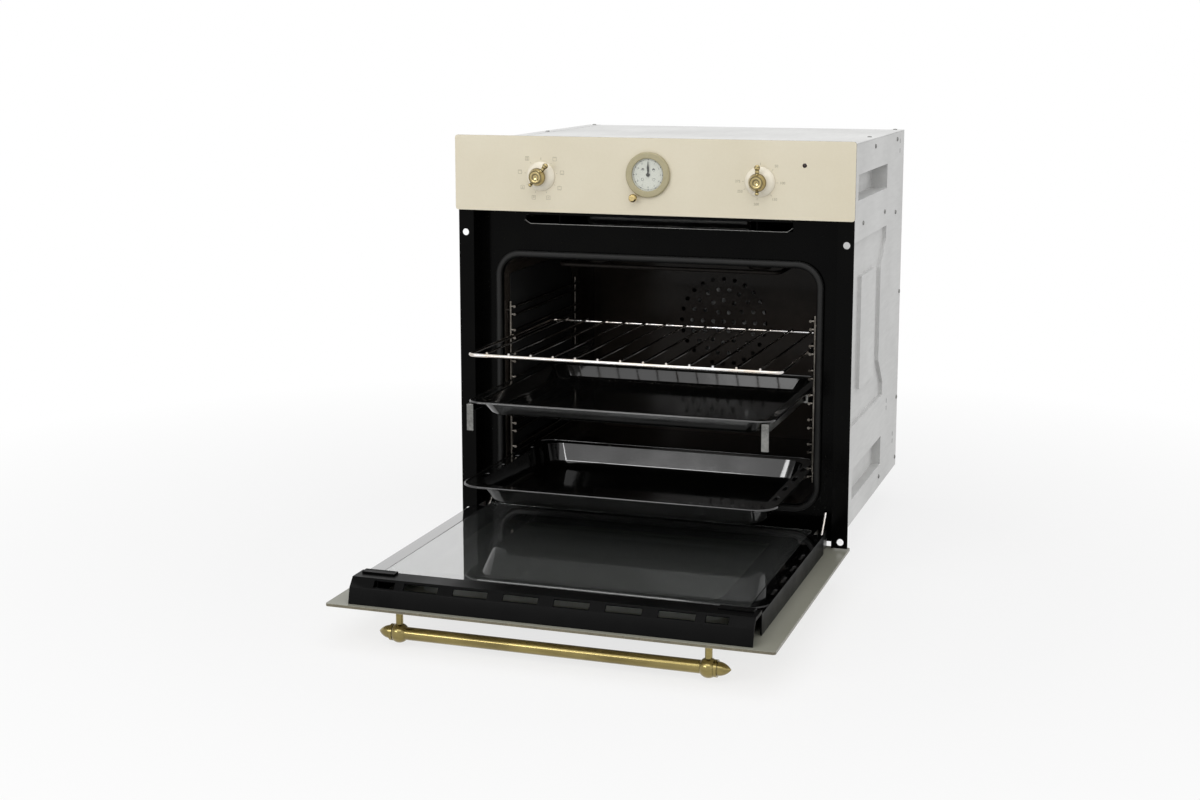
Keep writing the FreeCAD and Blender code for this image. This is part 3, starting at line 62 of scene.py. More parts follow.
cadNodes = frame["nodes"]
slotOf = {part["node"]: part["material_slot"] for part in frame["record"]["subparts"]}
bodyOf = {}
for bodyName, members in frame["record"]["behaviour"]["bodies"].items():
    for member in members:
        bodyOf[member] = bodyName
mm = 0.001
mergeGap = 0.02 * mm                             # corners that close are one corner
flatWithin = 0.5                                 # facets that close to flat, in degrees, are one face
squareOn = 0.9                                   # a face whose normal goes that far along an axis looks that way
edgeOn = 0.3                                     # and below this it stands edge-on to the axis
print("frame loaded:", len(cadNodes), "nodes")


# small tools for picking, editing and keeping pieces
def pick(*pieces):
    bpy.ops.object.select_all(action="DESELECT")
    for piece in pieces:
        piece.select_set(True)
    bpy.context.view_layer.objects.active = pieces[0]


def editPart(piece, faces=None, edges=None):     # edit mode, with only the wanted faces or edges selected
    pick(piece)
    bpy.ops.object.mode_set(mode="EDIT")
    bpy.ops.mesh.select_mode(type="EDGE" if edges else "FACE")
    bpy.ops.mesh.select_all(action="DESELECT")
    shape = bmesh.from_edit_mesh(piece.data)
    for face in shape.faces:
        if faces and faces(face.calc_center_median(), face.normal):
            face.select_set(True)
    for edge in shape.edges:
        if edges and edges(edge):
            edge.select_set(True)
    bmesh.update_edit_mesh(piece.data)


def endEdit():
    bpy.ops.object.mode_set(mode="OBJECT")


def applyModifier(piece, kind, **settings):
    pick(piece)
    modifier = piece.modifiers.new(kind.lower(), kind)
    for key, value in settings.items():
        setattr(modifier, key, value)
    bpy.ops.object.modifier_apply(modifier=modifier.name)


def softEdges(piece, width, segments=2, angle=30):
    applyModifier(piece, "BEVEL", width=width * mm, segments=segments, limit_method="ANGLE",
                  angle_limit=math.radians(angle))


def keepPiece(piece, name, body, material, smooth=35):
    pick(piece)
    bpy.ops.object.transform_apply(location=True, rotation=True, scale=True)
    bpy.ops.object.shade_smooth_by_angle(angle=math.radians(smooth))
    applyModifier(piece, "WEIGHTED_NORMAL", keep_sharp=True)       # big faces shade flat, only the folds turn
    piece.name = name
    piece.data.name = name
    piece.data.materials.clear()
    piece.data.materials.append(material)
    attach(piece, body)
    return piece


def copyAt(piece, matrix):                       # a copy with its own mesh, its place in the mesh
    copy = bpy.data.objects.new(piece.name, piece.data.copy())
    copy.data.transform(matrix)
    bpy.context.scene.collection.objects.link(copy)
    return copy


def joinUp(pieces):
    pick(*pieces)
    if len(pieces) > 1:
        bpy.ops.object.join()
    return bpy.context.view_layer.objects.active


def block(size, centre, turn=(0, 0, 0)):         # at its size and place in mm, turned in degrees
    bpy.ops.object.select_all(action="DESELECT")
    bpy.ops.mesh.primitive_cube_add(size=1, location=[part * mm for part in centre])
    piece = bpy.context.active_object
    piece.scale = [part * mm for part in size]
    piece.rotation_euler = [math.radians(part) for part in turn]
    bpy.ops.object.transform_apply(location=True, rotation=True, scale=True)
    return piece


def easedBlock(size, centre, ease, turn=(0, 0, 0)):
    piece = block(size, centre, turn)
    softEdges(piece, ease)
    return piece


def flatSheet(low, high, z, inset):              # a rectangle over a box's plan, that far inside its sides
    bpy.ops.object.select_all(action="DESELECT")
    bpy.ops.mesh.primitive_plane_add(size=1, location=((low.x + high.x) / 2, (low.y + high.y) / 2, z))
    sheet = bpy.context.active_object
    sheet.scale = (high.x - low.x - 2 * inset, high.y - low.y - 2 * inset, 1)
    bpy.ops.object.transform_apply(location=True, rotation=True, scale=True)
    return sheet


def pieceName(nodeName):                         # back_panel becomes backPanel
    first, *others = nodeName.split("_")
    return first + "".join(word.capitalize() for word in others)


def mergedCopy(name):                            # a CAD node's copy, its facets merged to whole faces
    copy = bpy.data.objects.new(name, cadNodes[name].data.copy())
    bpy.context.scene.collection.objects.link(copy)
    pick(copy)
    bpy.ops.mesh.customdata_custom_splitnormals_clear()
    bpy.ops.object.mode_set(mode="EDIT")
    bpy.ops.mesh.select_all(action="SELECT")
    bpy.ops.mesh.remove_doubles(threshold=mergeGap)
    bpy.ops.mesh.dissolve_limited(angle_limit=math.radians(flatWithin))
    endEdit()
    return copy


def softNode(name, width, segments=2, angle=30, smooth=35, material=None):
    copy = mergedCopy(name)                      # stands in for the CAD node, with its edges eased
    softEdges(copy, width, segments, angle)
    keepPiece(copy, pieceName(name), bodyOf[name], material or finishes[slotOf[name]], smooth)
    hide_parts(name)
    return copy


def paintFaces(piece, material, wanted):
    piece.data.materials.append(material)
    for face in piece.data.polygons:
        if wanted(face.center, face.normal):
            face.material_index = len(piece.data.materials) - 1


# materials
def linear(hexColour):                           # sRGB hex to the linear values that shaders take
    parts = [int(hexColour[start:start + 2], 16) / 255 for start in (1, 3, 5)]
    return [part / 12.92 if part <= 0.04045 else ((part + 0.055) / 1.055) ** 2.4 for part in parts] + [1.0]


def perMetre(size):                              # texture scale for features of that many mm
    return 1000 / size


def addNode(tree, kind, settings=None, links=None):
    node = tree.nodes.new(kind)
    for key, value in (settings or {}).items():
        if isinstance(key, int) or key in node.inputs:
            node.inputs[key].default_value = value
        else:
            setattr(node, key, value)
    for key, source in (links or {}).items():
        tree.links.new(source, node.inputs[key])
    return node


def startMaterial(name):
    material = bpy.data.materials.new(name)
    material.use_nodes = True
    material.node_tree.nodes.clear()
    place = addNode(material.node_tree, "ShaderNodeTexCoord").outputs["Object"]
    return material, material.node_tree, place


def endMaterial(tree, settings, links):
    shader = addNode(tree, "ShaderNodeBsdfPrincipled", settings, links)
    addNode(tree, "ShaderNodeOutputMaterial", links={"Surface": shader.outputs["BSDF"]})


def twoTones(tree, dark, light, share):          # a colour between two, by the share that a pattern gives
    mix = addNode(tree, "ShaderNodeMix", {"data_type": "RGBA", 6: linear(dark), 7: linear(light)}, {0: share})
    return mix.outputs[2]


def darkened(tree, dark, tone, share):           # a tone that gives way to a dark one where the share is low
    mix = addNode(tree, "ShaderNodeMix", {"data_type": "RGBA", 6: linear(dark)}, {0: share, 7: tone})
    return mix.outputs[2]


# Most finishes share one build: two tones over a pattern, a roughness that wanders, and a fine relief.
# grain, patch and relief are sizes in mm; stretch makes the grain longer along one axis; turned cuts rings
# that wide round the axes of both knobs; the hollows colour is painted shade, laid into grooves and ring
# hollows.
knobAxis = (163 * mm, 0, 520 * mm)
grooveShadeReach = 3 * mm                               # how far from a groove the painted shade reaches
toneEnds = (0.35, 0.65)                          # where the pattern reaches the dark and the light tone
roughEnds = (0.3, 0.7)                           # where it reaches the smoothest and the roughest
ringEnds = (0.1, 0.7)                            # where a tool ring reaches its hollow and its crest
ringLow = 0.3                                    # share of the tone that is left in a ring's hollow, darkened there as painted shade
reliefDepth = 0.2                                # depth of the relief, as a share of its size


def surface(name, look, shader):
    material, tree, place = startMaterial(name)
    grainShare = look.get("grainShare", 0.5)
    grainPlace = addNode(tree, "ShaderNodeMapping", {"Scale": look.get("stretch", (1, 1, 1))},
                         {"Vector": place})
    grain = addNode(tree, "ShaderNodeTexNoise", {"Scale": perMetre(look["grain"]), "Detail": 4.0},
                    {"Vector": grainPlace.outputs["Vector"]})
    patch = addNode(tree, "ShaderNodeTexNoise", {"Scale": perMetre(look["patch"]), "Detail": 3.0},
                    {"Vector": place})
    blend = addNode(tree, "ShaderNodeMath", {"operation": "MULTIPLY_ADD", 1: grainShare, 2: 0.0},
                    {0: grain.outputs["Fac"]})
    blend = addNode(tree, "ShaderNodeMath", {"operation": "MULTIPLY_ADD", 1: 1 - grainShare},
                    {0: patch.outputs["Fac"], 2: blend.outputs["Value"]})
    spread = addNode(tree, "ShaderNodeMapRange", {"From Min": toneEnds[0], "From Max": toneEnds[1]},
                     {"Value": blend.outputs["Value"]})
    tone = twoTones(tree, look["dark"], look["light"], spread.outputs["Result"])
    if "hollowShade" in look:                        # painted shade: darker in grooves and creases, by ambient occlusion
        hollow = addNode(tree, "ShaderNodeAmbientOcclusion", {"Distance": grooveShadeReach})
        tone = darkened(tree, look["hollowShade"], tone, hollow.outputs["AO"])
    if "turned" in look:                         # tool rings round the axes of both knobs, their hollows darkened as painted shade
        folded = addNode(tree, "ShaderNodeVectorMath", {"operation": "ABSOLUTE"}, {0: place})
        axis = addNode(tree, "ShaderNodeVectorMath", {"operation": "SUBTRACT", 1: knobAxis},
                       {0: folded.outputs["Vector"]})
        ringScale = perMetre(look["turned"]) * math.pi / 10
        relief = addNode(tree, "ShaderNodeTexWave", {"wave_type": "RINGS", "rings_direction": "Y",
                                                     "Scale": ringScale}, {"Vector": axis.outputs["Vector"]})
        ring = addNode(tree, "ShaderNodeMapRange", {"From Min": ringEnds[0], "From Max": ringEnds[1],
                                                    "To Min": ringLow}, {"Value": relief.outputs["Fac"]})
        tone = darkened(tree, look["hollowShade"], tone, ring.outputs["Result"])
    else:
        relief = addNode(tree, "ShaderNodeTexNoise", {"Scale": perMetre(look["relief"]), "Detail": 2.0},
                         {"Vector": place})
    smoothest, roughest = look["rough"]
    rough = addNode(tree, "ShaderNodeMapRange", {"From Min": roughEnds[0], "From Max": roughEnds[1],
                                                 "To Min": smoothest, "To Max": roughest},
                    {"Value": patch.outputs["Fac"]})
    depth = look["relief"] * mm * reliefDepth
    bump = addNode(tree, "ShaderNodeBump", {"Strength": look["bump"], "Distance": depth},
                   {"Height": relief.outputs["Fac"]})
    endMaterial(tree, shader, {"Base Color": tone, "Roughness": rough.outputs["Result"],
                               "Normal": bump.outputs["Normal"]})
    return material


finishes = {
    # hot-dip galvanised steel: pale dull zinc with faint rolling streaks
    "galvanised_steel": surface("galvanisedSteel", {"dark": "#c8c8c7", "light": "#d4d4d3", "grain": 6,
        "patch": 120, "stretch": (1, 0.12, 1), "grainShare": 0.35, "rough": (0.68, 0.76), "relief": 8,
        "bump": 0.012}, {"Metallic": 1.0}),
    # vitreous enamel on steel: glassy deep black with a slight orange peel
    "black_enamel": surface("vitreousEnamel", {"dark": "#030303", "light": "#070706", "grain": 1.2,
        "patch": 60, "rough": (0.1, 0.2), "relief": 7, "bump": 0.04}, {"Specular IOR Level": 0.05}),
    # painted shade: dead black on the blower and the air duct, which sit in shade behind the cooling slot
    "duct_shade": surface("paintedDuctShade", {"dark": "#060606", "light": "#0b0b0b", "grain": 1,
        "patch": 30, "rough": (0.6, 0.75), "relief": 1, "bump": 0.1}, {"Specular IOR Level": 0.06}),
    # cavity enamel: browned by heat, a little paler than the frame
    "cavity_enamel": surface("cavityEnamel", {"dark": "#2c2723", "light": "#3a342f", "grain": 1.2,
        "patch": 50, "rough": (0.12, 0.22), "relief": 7, "bump": 0.05}, {"Specular IOR Level": 0.12}),
    # tray enamel: the same black fired thicker, a clear gloss that draws bright lines on every fold
    "tray_enamel": surface("trayEnamel", {"dark": "#080808", "light": "#0f0f0e", "grain": 1.2,
        "patch": 60, "rough": (0.05, 0.1), "relief": 9, "bump": 0.02}, {"IOR": 1.8}),
    # porous catalytic enamel: matt charcoal that hides splashes
    "liner_enamel": surface("catalyticEnamel", {"dark": "#1b1b1b", "light": "#2b2b2a", "grain": 1.5,
        "patch": 25, "rough": (0.7, 0.85), "relief": 1.5, "bump": 0.3}, {"Specular IOR Level": 0.2}),
    # powder-coated profile: satin black with a fine pebble
    "black_profile": surface("powderCoatBlack", {"dark": "#040404", "light": "#090909", "grain": 1,
        "patch": 40, "rough": (0.3, 0.42), "relief": 1, "bump": 0.06}, {"Specular IOR Level": 0.06}),
    # chromed steel wire: mirror bright, straw and copper tints where it has been hot
    "chrome": surface("chromedWire", {"dark": "#c6bcb0", "light": "#d8d8da", "grain": 15,
        "patch": 60, "grainShare": 0.3, "rough": (0.06, 0.14), "relief": 3, "bump": 0.02},
        {"Metallic": 1.0}),
    # chromed wire of the shelf ladders: a darker copy of the chrome, painted shade for the cavity they stand in,
    # with a heat-browned tint; bright only where light strikes it
    "shaded_chrome": surface("shadedChrome", {"dark": "#4a453f", "light": "#77736d", "grain": 6,
        "patch": 35, "rough": (0.14, 0.24), "relief": 3, "bump": 0.03}, {"Metallic": 1.0}),
    # bright zinc-plated steel: greyer and duller than chrome, drawn along its length
    "zinc_steel": surface("zincPlatedSteel", {"dark": "#6a6a68", "light": "#8c8c89", "grain": 3,
        "patch": 30, "stretch": (1, 0.1, 1), "rough": (0.25, 0.4), "relief": 2, "bump": 0.03},
        {"Metallic": 1.0}),
    # antique brass: lacquered yellow metal, with painted shade darkening its grooves
    "aged_brass": surface("antiqueBrass", {"dark": "#73663a", "light": "#968752", "grain": 4,
        "patch": 60, "stretch": (0.1, 1, 1), "grainShare": 0.4, "rough": (0.14, 0.22), "relief": 6,
        "bump": 0.008, "hollowShade": "#211b0e"}, {"Metallic": 1.0, "Coat Weight": 0.5, "Coat Roughness": 0.12}),
    # turned brass of the knobs: brighter, with fine tool rings, and painted shade in the ring hollows and
    # grooves
    "turned_brass": surface("turnedBrass", {"dark": "#a39162", "light": "#cab986", "grain": 3,
        "patch": 15, "rough": (0.1, 0.18), "relief": 2, "turned": 4.4, "bump": 0.3, "hollowShade": "#332a14"},
        {"Metallic": 1.0, "Coat Weight": 0.5, "Coat Roughness": 0.08}),
    # polished brass of the small knob: plain and bright, with painted shade in its grooves
    "polished_brass": surface("polishedBrass", {"dark": "#b8a268", "light": "#d4be86", "grain": 2,
        "patch": 8, "rough": (0.1, 0.16), "relief": 3, "bump": 0.01, "hollowShade": "#3a3018"},
        {"Metallic": 1.0, "Coat Weight": 0.5, "Coat Roughness": 0.08}),
    # mineral wool: straw-coloured fibres, no shine at all
    "mineral_wool": surface("mineralWool", {"dark": "#8f8360", "light": "#cfc39c", "grain": 2,
        "patch": 30, "rough": (0.95, 1.0), "relief": 3, "bump": 0.9}, {"Specular IOR Level": 0.1}),
    # silicone rubber: charcoal, soft sheen
    "gasket_rubber": surface("siliconeRubber", {"dark": "#161616", "light": "#222221", "grain": 1,
        "patch": 30, "rough": (0.45, 0.6), "relief": 2, "bump": 0.06}, {"Specular IOR Level": 0.25}),
    # heater tube: nickel steel blued and browned by heat
    "heater_tube": surface("blackenedTube", {"dark": "#171513", "light": "#2b2724", "grain": 2,
        "patch": 18, "rough": (0.45, 0.6), "relief": 1.5, "bump": 0.15},
        {"Metallic": 0.4, "Specular IOR Level": 0.2}),
    # glazed lamp ceramic: off-white, slightly speckled
    "lamp_ceramic": surface("lampCeramic", {"dark": "#cfc9bc", "light": "#e6e2d7", "grain": 0.8,
        "patch": 15, "rough": (0.25, 0.4), "relief": 2, "bump": 0.05}, {}),
    # pressed lamp glass: clear with soft waves
    "lamp_glass": surface("pressedGlass", {"dark": "#d5dad6", "light": "#eef1ee", "grain": 4,
        "patch": 12, "rough": (0.04, 0.1), "relief": 6, "bump": 0.2}, {"Alpha": 0.4}),
    # back-painted glass: even cream under a polished face
    "cream_glass": surface("creamPaintedGlass", {"dark": "#dcd3bb", "light": "#e2dac4", "grain": 3,
        "patch": 160, "grainShare": 0.2, "rough": (0.03, 0.07), "relief": 60, "bump": 0.004}, {}),
    # tinted float glass with a heat-reflecting coat: mirrors strongly at a slant, faint wipe marks
    "dark_glass": surface("coatedGlass", {"dark": "#c2c6c3", "light": "#cdd0ce", "grain": 30,
        "patch": 90, "rough": (0.0, 0.03), "relief": 80, "bump": 0.002},
        {"Transmission Weight": 0.94, "IOR": 2.2, "Coat Weight": 1.0, "Coat IOR": 2.2}),
    # glossy cream thermoset: a touch lighter than the panel
    "cream_plastic": surface("creamThermoset", {"dark": "#ebe3cf", "light": "#f3ecdb", "grain": 1,
        "patch": 14, "rough": (0.16, 0.26), "relief": 3, "bump": 0.02}, {}),
    # phenolic plastic: matt black, slightly grainy
    "switch_plastic": surface("phenolicPlastic", {"dark": "#141414", "light": "#212120", "grain": 0.8,
        "patch": 12, "rough": (0.4, 0.55), "relief": 1, "bump": 0.1}, {"Specular IOR Level": 0.3}),
    # lacquered bezel: satin khaki paint over turned brass
    "khaki_bezel": surface("khakiLacquer", {"dark": "#a39a78", "light": "#b0a786", "grain": 0.8,
        "patch": 12, "rough": (0.3, 0.4), "relief": 1.5, "bump": 0.03}, {}),
    # printed dial sheet: cool off-white, silk finish
    "dial_white": surface("dialSheet", {"dark": "#d3d5ca", "light": "#dcded4", "grain": 0.6,
        "patch": 14, "rough": (0.4, 0.5), "relief": 1, "bump": 0.02}, {}),
    # clock crystal: thin clear glass, faint dust
    "clock_glass": surface("clockCrystal", {"dark": "#e6e9e6", "light": "#f2f4f2", "grain": 2,
        "patch": 20, "rough": (0.02, 0.05), "relief": 20, "bump": 0.01}, {"Alpha": 0.05}),
    # lacquered steel hand: black with a brown cast
    "hand_black": surface("handLacquer", {"dark": "#1d1d17", "light": "#2b2a22", "grain": 0.6,
        "patch": 6, "rough": (0.25, 0.35), "relief": 1, "bump": 0.03}, {"Specular IOR Level": 0.3}),
    # smoked lens: dark red that lights when the oven heats
    "pilot_lens": surface("smokedLens", {"dark": "#1a0f0c", "light": "#2c1712", "grain": 0.8,
        "patch": 4, "rough": (0.1, 0.18), "relief": 1, "bump": 0.05}, {"Specular IOR Level": 0.4}),
    # mill-finish aluminium: pale grey, fine streaks
    "fan_aluminium": surface("millAluminium", {"dark": "#8f8f8f", "light": "#b2b2b1", "grain": 1.5,
        "patch": 25, "stretch": (1, 1, 0.2), "rough": (0.3, 0.45), "relief": 1.5, "bump": 0.05},
        {"Metallic": 1.0}),
}
# ground glass edge: champagne grey with fine grinding lines
glassEdge = surface("groundGlassEdge", {"dark": "#5f5a4b", "light": "#7b745f", "grain": 1.2,
    "patch": 20, "stretch": (1, 1, 0.1), "rough": (0.2, 0.35), "relief": 1, "bump": 0.08}, {})
# fired ceramic print: dense black, slightly matt
framePrint = surface("ceramicPrint", {"dark": "#040404", "light": "#080808", "grain": 0.8,
    "patch": 30, "rough": (0.4, 0.55), "relief": 1, "bump": 0.04}, {"Specular IOR Level": 0.03})
# black lacquer on the door's side rails: as glossy as the glass between them
railLacquer = surface("railLacquer", {"dark": "#040404", "light": "#080808", "grain": 1,
    "patch": 40, "rough": (0.02, 0.05), "relief": 60, "bump": 0.004},
    {"IOR": 2.2, "Coat Weight": 1.0, "Coat IOR": 2.2})
# panel ink: thin warm grey, half worn
panelInk = surface("panelInk", {"dark": "#8c846b", "light": "#a39b81", "grain": 0.5,
    "patch": 5, "rough": (0.4, 0.5), "relief": 0.5, "bump": 0.05}, {})
# dial ink: blue black
dialInk = surface("dialInk", {"dark": "#141618", "light": "#222426", "grain": 0.5,
    "patch": 3, "rough": (0.4, 0.5), "relief": 0.5, "bump": 0.05}, {})
# finishes other than the slot's: the blower and duct black as painted shade, the shelf ladders a darker chrome
# as painted shade, the cavity and fan cover browned enamel
ownFinish = {"blower_housing": "duct_shade", "duct_floor": "duct_shade", "oven_cavity": "cavity_enamel",
             "fan_cover": "cavity_enamel", "left_shelf_ladder": "shaded_chrome",
             "right_shelf_ladder": "shaded_chrome"}
for nodeName, cadObject in cadNodes.items():
    cadObject.material_slots[0].material = finishes[ownFinish.get(nodeName, slotOf[nodeName])]
print("finishes made:", len(finishes), "and five for edges, print and ink")

# pressed and extruded pieces: the CAD shapes with the eased edges that sheet metal and glass have,
# each with the width in mm and the segments of its edges
eased = {
    "left_side_panel": (1.4, 3), "right_side_panel": (1.4, 3), "top_cover": (1.2, 3), "back_panel": (0.5, 2),
    "base_panel": (0.8, 2), "terminal_cover": (1.6, 3), "front_frame": (1.0, 2),
    "door_top_profile": (0.7, 2), "door_left_profile": (0.7, 2), "door_right_profile": (0.7, 2),
    "door_bottom_profile": (0.7, 2), "left_runner_slide": (0.6, 2), "right_runner_slide": (0.6, 2),
    "left_runner_rail": (0.5, 2), "right_runner_rail": (0.5, 2), "left_hinge_arm": (0.5, 2),
    "right_hinge_arm": (0.5, 2), "left_hinge_channel": (0.3, 2), "right_hinge_channel": (0.3, 2),
    "clock_bezel": (0.4, 2), "left_liner": (0.3, 1), "right_liner": (0.3, 1), "door_inner_glass": (0.5, 2),
}
easedPieces = {name: softNode(name, *sizes) for name, sizes in eased.items()}
for name in ("selector_grip", "thermostat_grip"):
    easedPieces[name] = softNode(name, 0.5, 3, angle=25, smooth=40, material=finishes["turned_brass"])
easedPieces["clock_set_knob"] = softNode("clock_set_knob", 0.6, 3, angle=25, smooth=40,
                                         material=finishes["polished_brass"])
for name in ("door_left_profile", "door_right_profile"):
    paintFaces(easedPieces[name], railLacquer, lambda centre, normal: normal.z > squareOn)
print("edges eased on", len(easedPieces), "pieces")

# front glass of the panel, with a ground and polished rim
panelLook = {"rim": 0.8, "faceY": -8 * mm}
panelGlass = softNode("control_panel", panelLook["rim"], 3)
paintFaces(panelGlass, glassEdge, lambda centre, normal: abs(normal.y) < edgeOn)
print("panel glass ready")

# door front glass: cream face with a dark window, primed back with a painted reflection in its window, ground
# rim; sizes in mm on the open door
doorLook = {"rim": 0.6, "windowX": 205, "windowFront": -367, "windowBack": -49, "corner": 22,
            "paintEdge": 0.3, "cloud": 160, "print": 0.15, "printInset": 1.5, "printGap": 0.02}


def windowGlass(name, look, border, window, shader):      # glass painted round a window with round corners
    material, tree, place = startMaterial(name)
    corner = look["corner"]
    middle = (look["windowFront"] + look["windowBack"]) / 2
    halfDeep = (look["windowBack"] - look["windowFront"]) / 2
    half = ((look["windowX"] - corner) * mm, (halfDeep - corner) * mm, 0)
    moved = addNode(tree, "ShaderNodeVectorMath", {"operation": "SUBTRACT", 1: (0, middle * mm, 0)},
                    {0: place})
    folded = addNode(tree, "ShaderNodeVectorMath", {"operation": "ABSOLUTE"}, {0: moved.outputs["Vector"]})
    beyond = addNode(tree, "ShaderNodeVectorMath", {"operation": "SUBTRACT", 1: half},
                     {0: folded.outputs["Vector"]})
    beyond = addNode(tree, "ShaderNodeVectorMath", {"operation": "MAXIMUM", 1: (0, 0, 0)},
                     {0: beyond.outputs["Vector"]})
    flat = addNode(tree, "ShaderNodeVectorMath", {"operation": "MULTIPLY", 1: (1, 1, 0)},
                   {0: beyond.outputs["Vector"]})
    reach = addNode(tree, "ShaderNodeVectorMath", {"operation": "LENGTH"}, {0: flat.outputs["Vector"]})
    inPane = addNode(tree, "ShaderNodeMapRange", {"From Min": (corner + look["paintEdge"]) * mm,
                     "From Max": (corner - look["paintEdge"]) * mm}, {"Value": reach.outputs["Value"]})
    cloud = addNode(tree, "ShaderNodeTexNoise", {"Scale": perMetre(look["cloud"]), "Detail": 3.0},
                    {"Vector": place})
    paint = twoTones(tree, *border, cloud.outputs["Fac"])
    pane = twoTones(tree, *window, cloud.outputs["Fac"])
    tone = addNode(tree, "ShaderNodeMix", {"data_type": "RGBA"},
                   {0: inPane.outputs["Result"], 6: paint, 7: pane})
    endMaterial(tree, shader, {"Base Color": tone.outputs[2]})
    return material


# back-painted cream glass, left clear and dark in its middle
doorFace = windowGlass("creamGlassWithWindow", doorLook, ("#dcd3bb", "#e2dac4"), ("#0a0b0a", "#0d0e0d"),
                       {"Roughness": 0.05})
# its back: grey green priming coat round the smoked pane, and the pane painted light grey as a painted
# reflection of a half-mirrored coat
primerWithPaintedReflection = windowGlass("primedBackPaintedReflection", doorLook, ("#8b8b80", "#98978a"), ("#9d9d99", "#a8a8a4"),
                       {"Roughness": 0.25, "Specular IOR Level": 0.2})
doorGlass = softNode("door_outer_glass", doorLook["rim"], 3, material=doorFace)
paintFaces(doorGlass, glassEdge, lambda centre, normal: abs(normal.z) < edgeOn)
paintFaces(doorGlass, primerWithPaintedReflection, lambda centre, normal: normal.z > edgeOn)

# black print under the inner glass, a frame round its window
low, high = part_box("door_inner_glass")
inside = doorLook["printInset"] * mm
printFrame = flatSheet(low, high, low.z - doorLook["printGap"] * mm, inside)
editPart(printFrame, faces=lambda centre, normal: True)
bpy.ops.mesh.inset(thickness=high.x - inside - doorLook["windowX"] * mm)
bpy.ops.mesh.delete(type="FACE")
endEdit()
windowReach = (doorLook["windowX"] + 1) * mm
editPart(printFrame, edges=lambda edge: all(abs(vert.co.x) < windowReach for vert in edge.verts))
bpy.ops.mesh.bevel(offset=doorLook["corner"] * mm, segments=6, affect="VERTICES")
bpy.ops.mesh.select_all(action="SELECT")
bpy.ops.mesh.extrude_region_move(TRANSFORM_OT_translate={"value": (0, 0, -doorLook["print"] * mm)})
bpy.ops.mesh.select_all(action="SELECT")
bpy.ops.mesh.normals_make_consistent(inside=False)
endEdit()
keepPiece(printFrame, "innerGlassPrint", "door", framePrint)
print("door glass ready")

# trays: pressed enamelled steel, with the wide folds that a press gives; sizes in mm, angles in degrees
trayLook = {"folds": {"baking_tray": 5, "deep_tray": 9}, "wall": 1.2, "footAngle": 8, "turn": 2.5,
            "turnAngles": (8.6, 68.8), "rimX": 12, "rimY": 8, "rim": 0.5}


def atLevel(edge, level):
    return all(abs(vert.co.z - level) < 0.1 * mm for vert in edge.verts)


def foldAngle(edge):                             # in degrees; an open edge has none
    return math.degrees(edge.calc_face_angle()) if len(edge.link_faces) == 2 else 0


def insideRim(edge, low, high):
    marginX, marginY = trayLook["rimX"] * mm, trayLook["rimY"] * mm
    return all(low.x + marginX < vert.co.x < high.x - marginX
               and low.y + marginY < vert.co.y < high.y - marginY for vert in edge.verts)


wall = trayLook["wall"] * mm
flattest, steepest = trayLook["turnAngles"]
for trayName, fold in trayLook["folds"].items():
    tray = mergedCopy(trayName)
    low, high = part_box(trayName)
    for level, offset in ((low.z, fold * mm + wall), (low.z + wall, fold * mm)):
        editPart(tray, edges=lambda edge: atLevel(edge, level) and foldAngle(edge) > trayLook["footAngle"])
        bpy.ops.mesh.bevel(offset=offset, segments=5, affect="EDGES", clamp_overlap=True)
        endEdit()
    for level in (high.z, high.z - wall):        # where the rim turns down into the wall
        editPart(tray, edges=lambda edge: atLevel(edge, level) and insideRim(edge, low, high)
                 and flattest < foldAngle(edge) < steepest)
        bpy.ops.mesh.bevel(offset=trayLook["turn"] * mm, segments=3, affect="EDGES", clamp_overlap=True)
        endEdit()
    softEdges(tray, trayLook["rim"], angle=50)
    keepPiece(tray, pieceName(trayName), bodyOf[trayName], finishes["tray_enamel"],
              smooth=40)
    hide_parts(trayName)

# rolled bead round each tray's rim: a round-cornered loop given a round section; sizes in mm
beadLook = {"radius": 1.3, "inset": 1.7, "corners": {"baking_tray": 22, "deep_tray": 34}}
for trayName, corner in beadLook["corners"].items():
    low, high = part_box(trayName)
    bead = flatSheet(low, high, high.z, beadLook["inset"] * mm)
    editPart(bead, faces=lambda centre, normal: True)
    bpy.ops.mesh.bevel(offset=(corner - beadLook["inset"]) * mm, segments=8, affect="VERTICES")
    bpy.ops.mesh.select_all(action="SELECT")
    bpy.ops.mesh.delete(type="ONLY_FACE")
    endEdit()
    pick(bead)
    bpy.ops.object.convert(target="CURVE")
    bead = bpy.context.active_object
    bead.data.bevel_depth = beadLook["radius"] * mm
    bead.data.bevel_resolution = 3
    bpy.ops.object.convert(target="MESH")
    bead = bpy.context.active_object
    beadName = pieceName(trayName) + "Bead"
    keepPiece(bead, beadName, bodyOf[trayName], finishes["tray_enamel"], smooth=60)
print("trays pressed")

# gasket: a soft round bead; insulation: a wrap of wool
softNode("door_gasket", 3.6, 4, angle=40, smooth=60)
softNode("cavity_insulation", 5, 3, angle=40, smooth=60)
print("gasket and wool ready")

# printed marks: flat shapes drawn in the plane, then turned to face the front; sizes in mm
inkHeight = 0.04
inkRound = 0.3                                   # rounding of a bar's corners, as a share of its width


def inkBar(width, height, x=0, y=0, turn=0):
    bar = block((width, height, inkHeight), (0, 0, inkHeight / 2))
    editPart(bar, edges=lambda edge: abs(edge.verts[0].co.z - edge.verts[1].co.z) > inkHeight * mm / 2)
    bpy.ops.mesh.bevel(offset=min(width, height) * mm * inkRound, segments=2, affect="EDGES")
    endEdit()
    bar.data.transform(Matrix.Translation((x * mm, y * mm, 0)) @ Matrix.Rotation(math.radians(turn), 4, "Z"))
    return bar


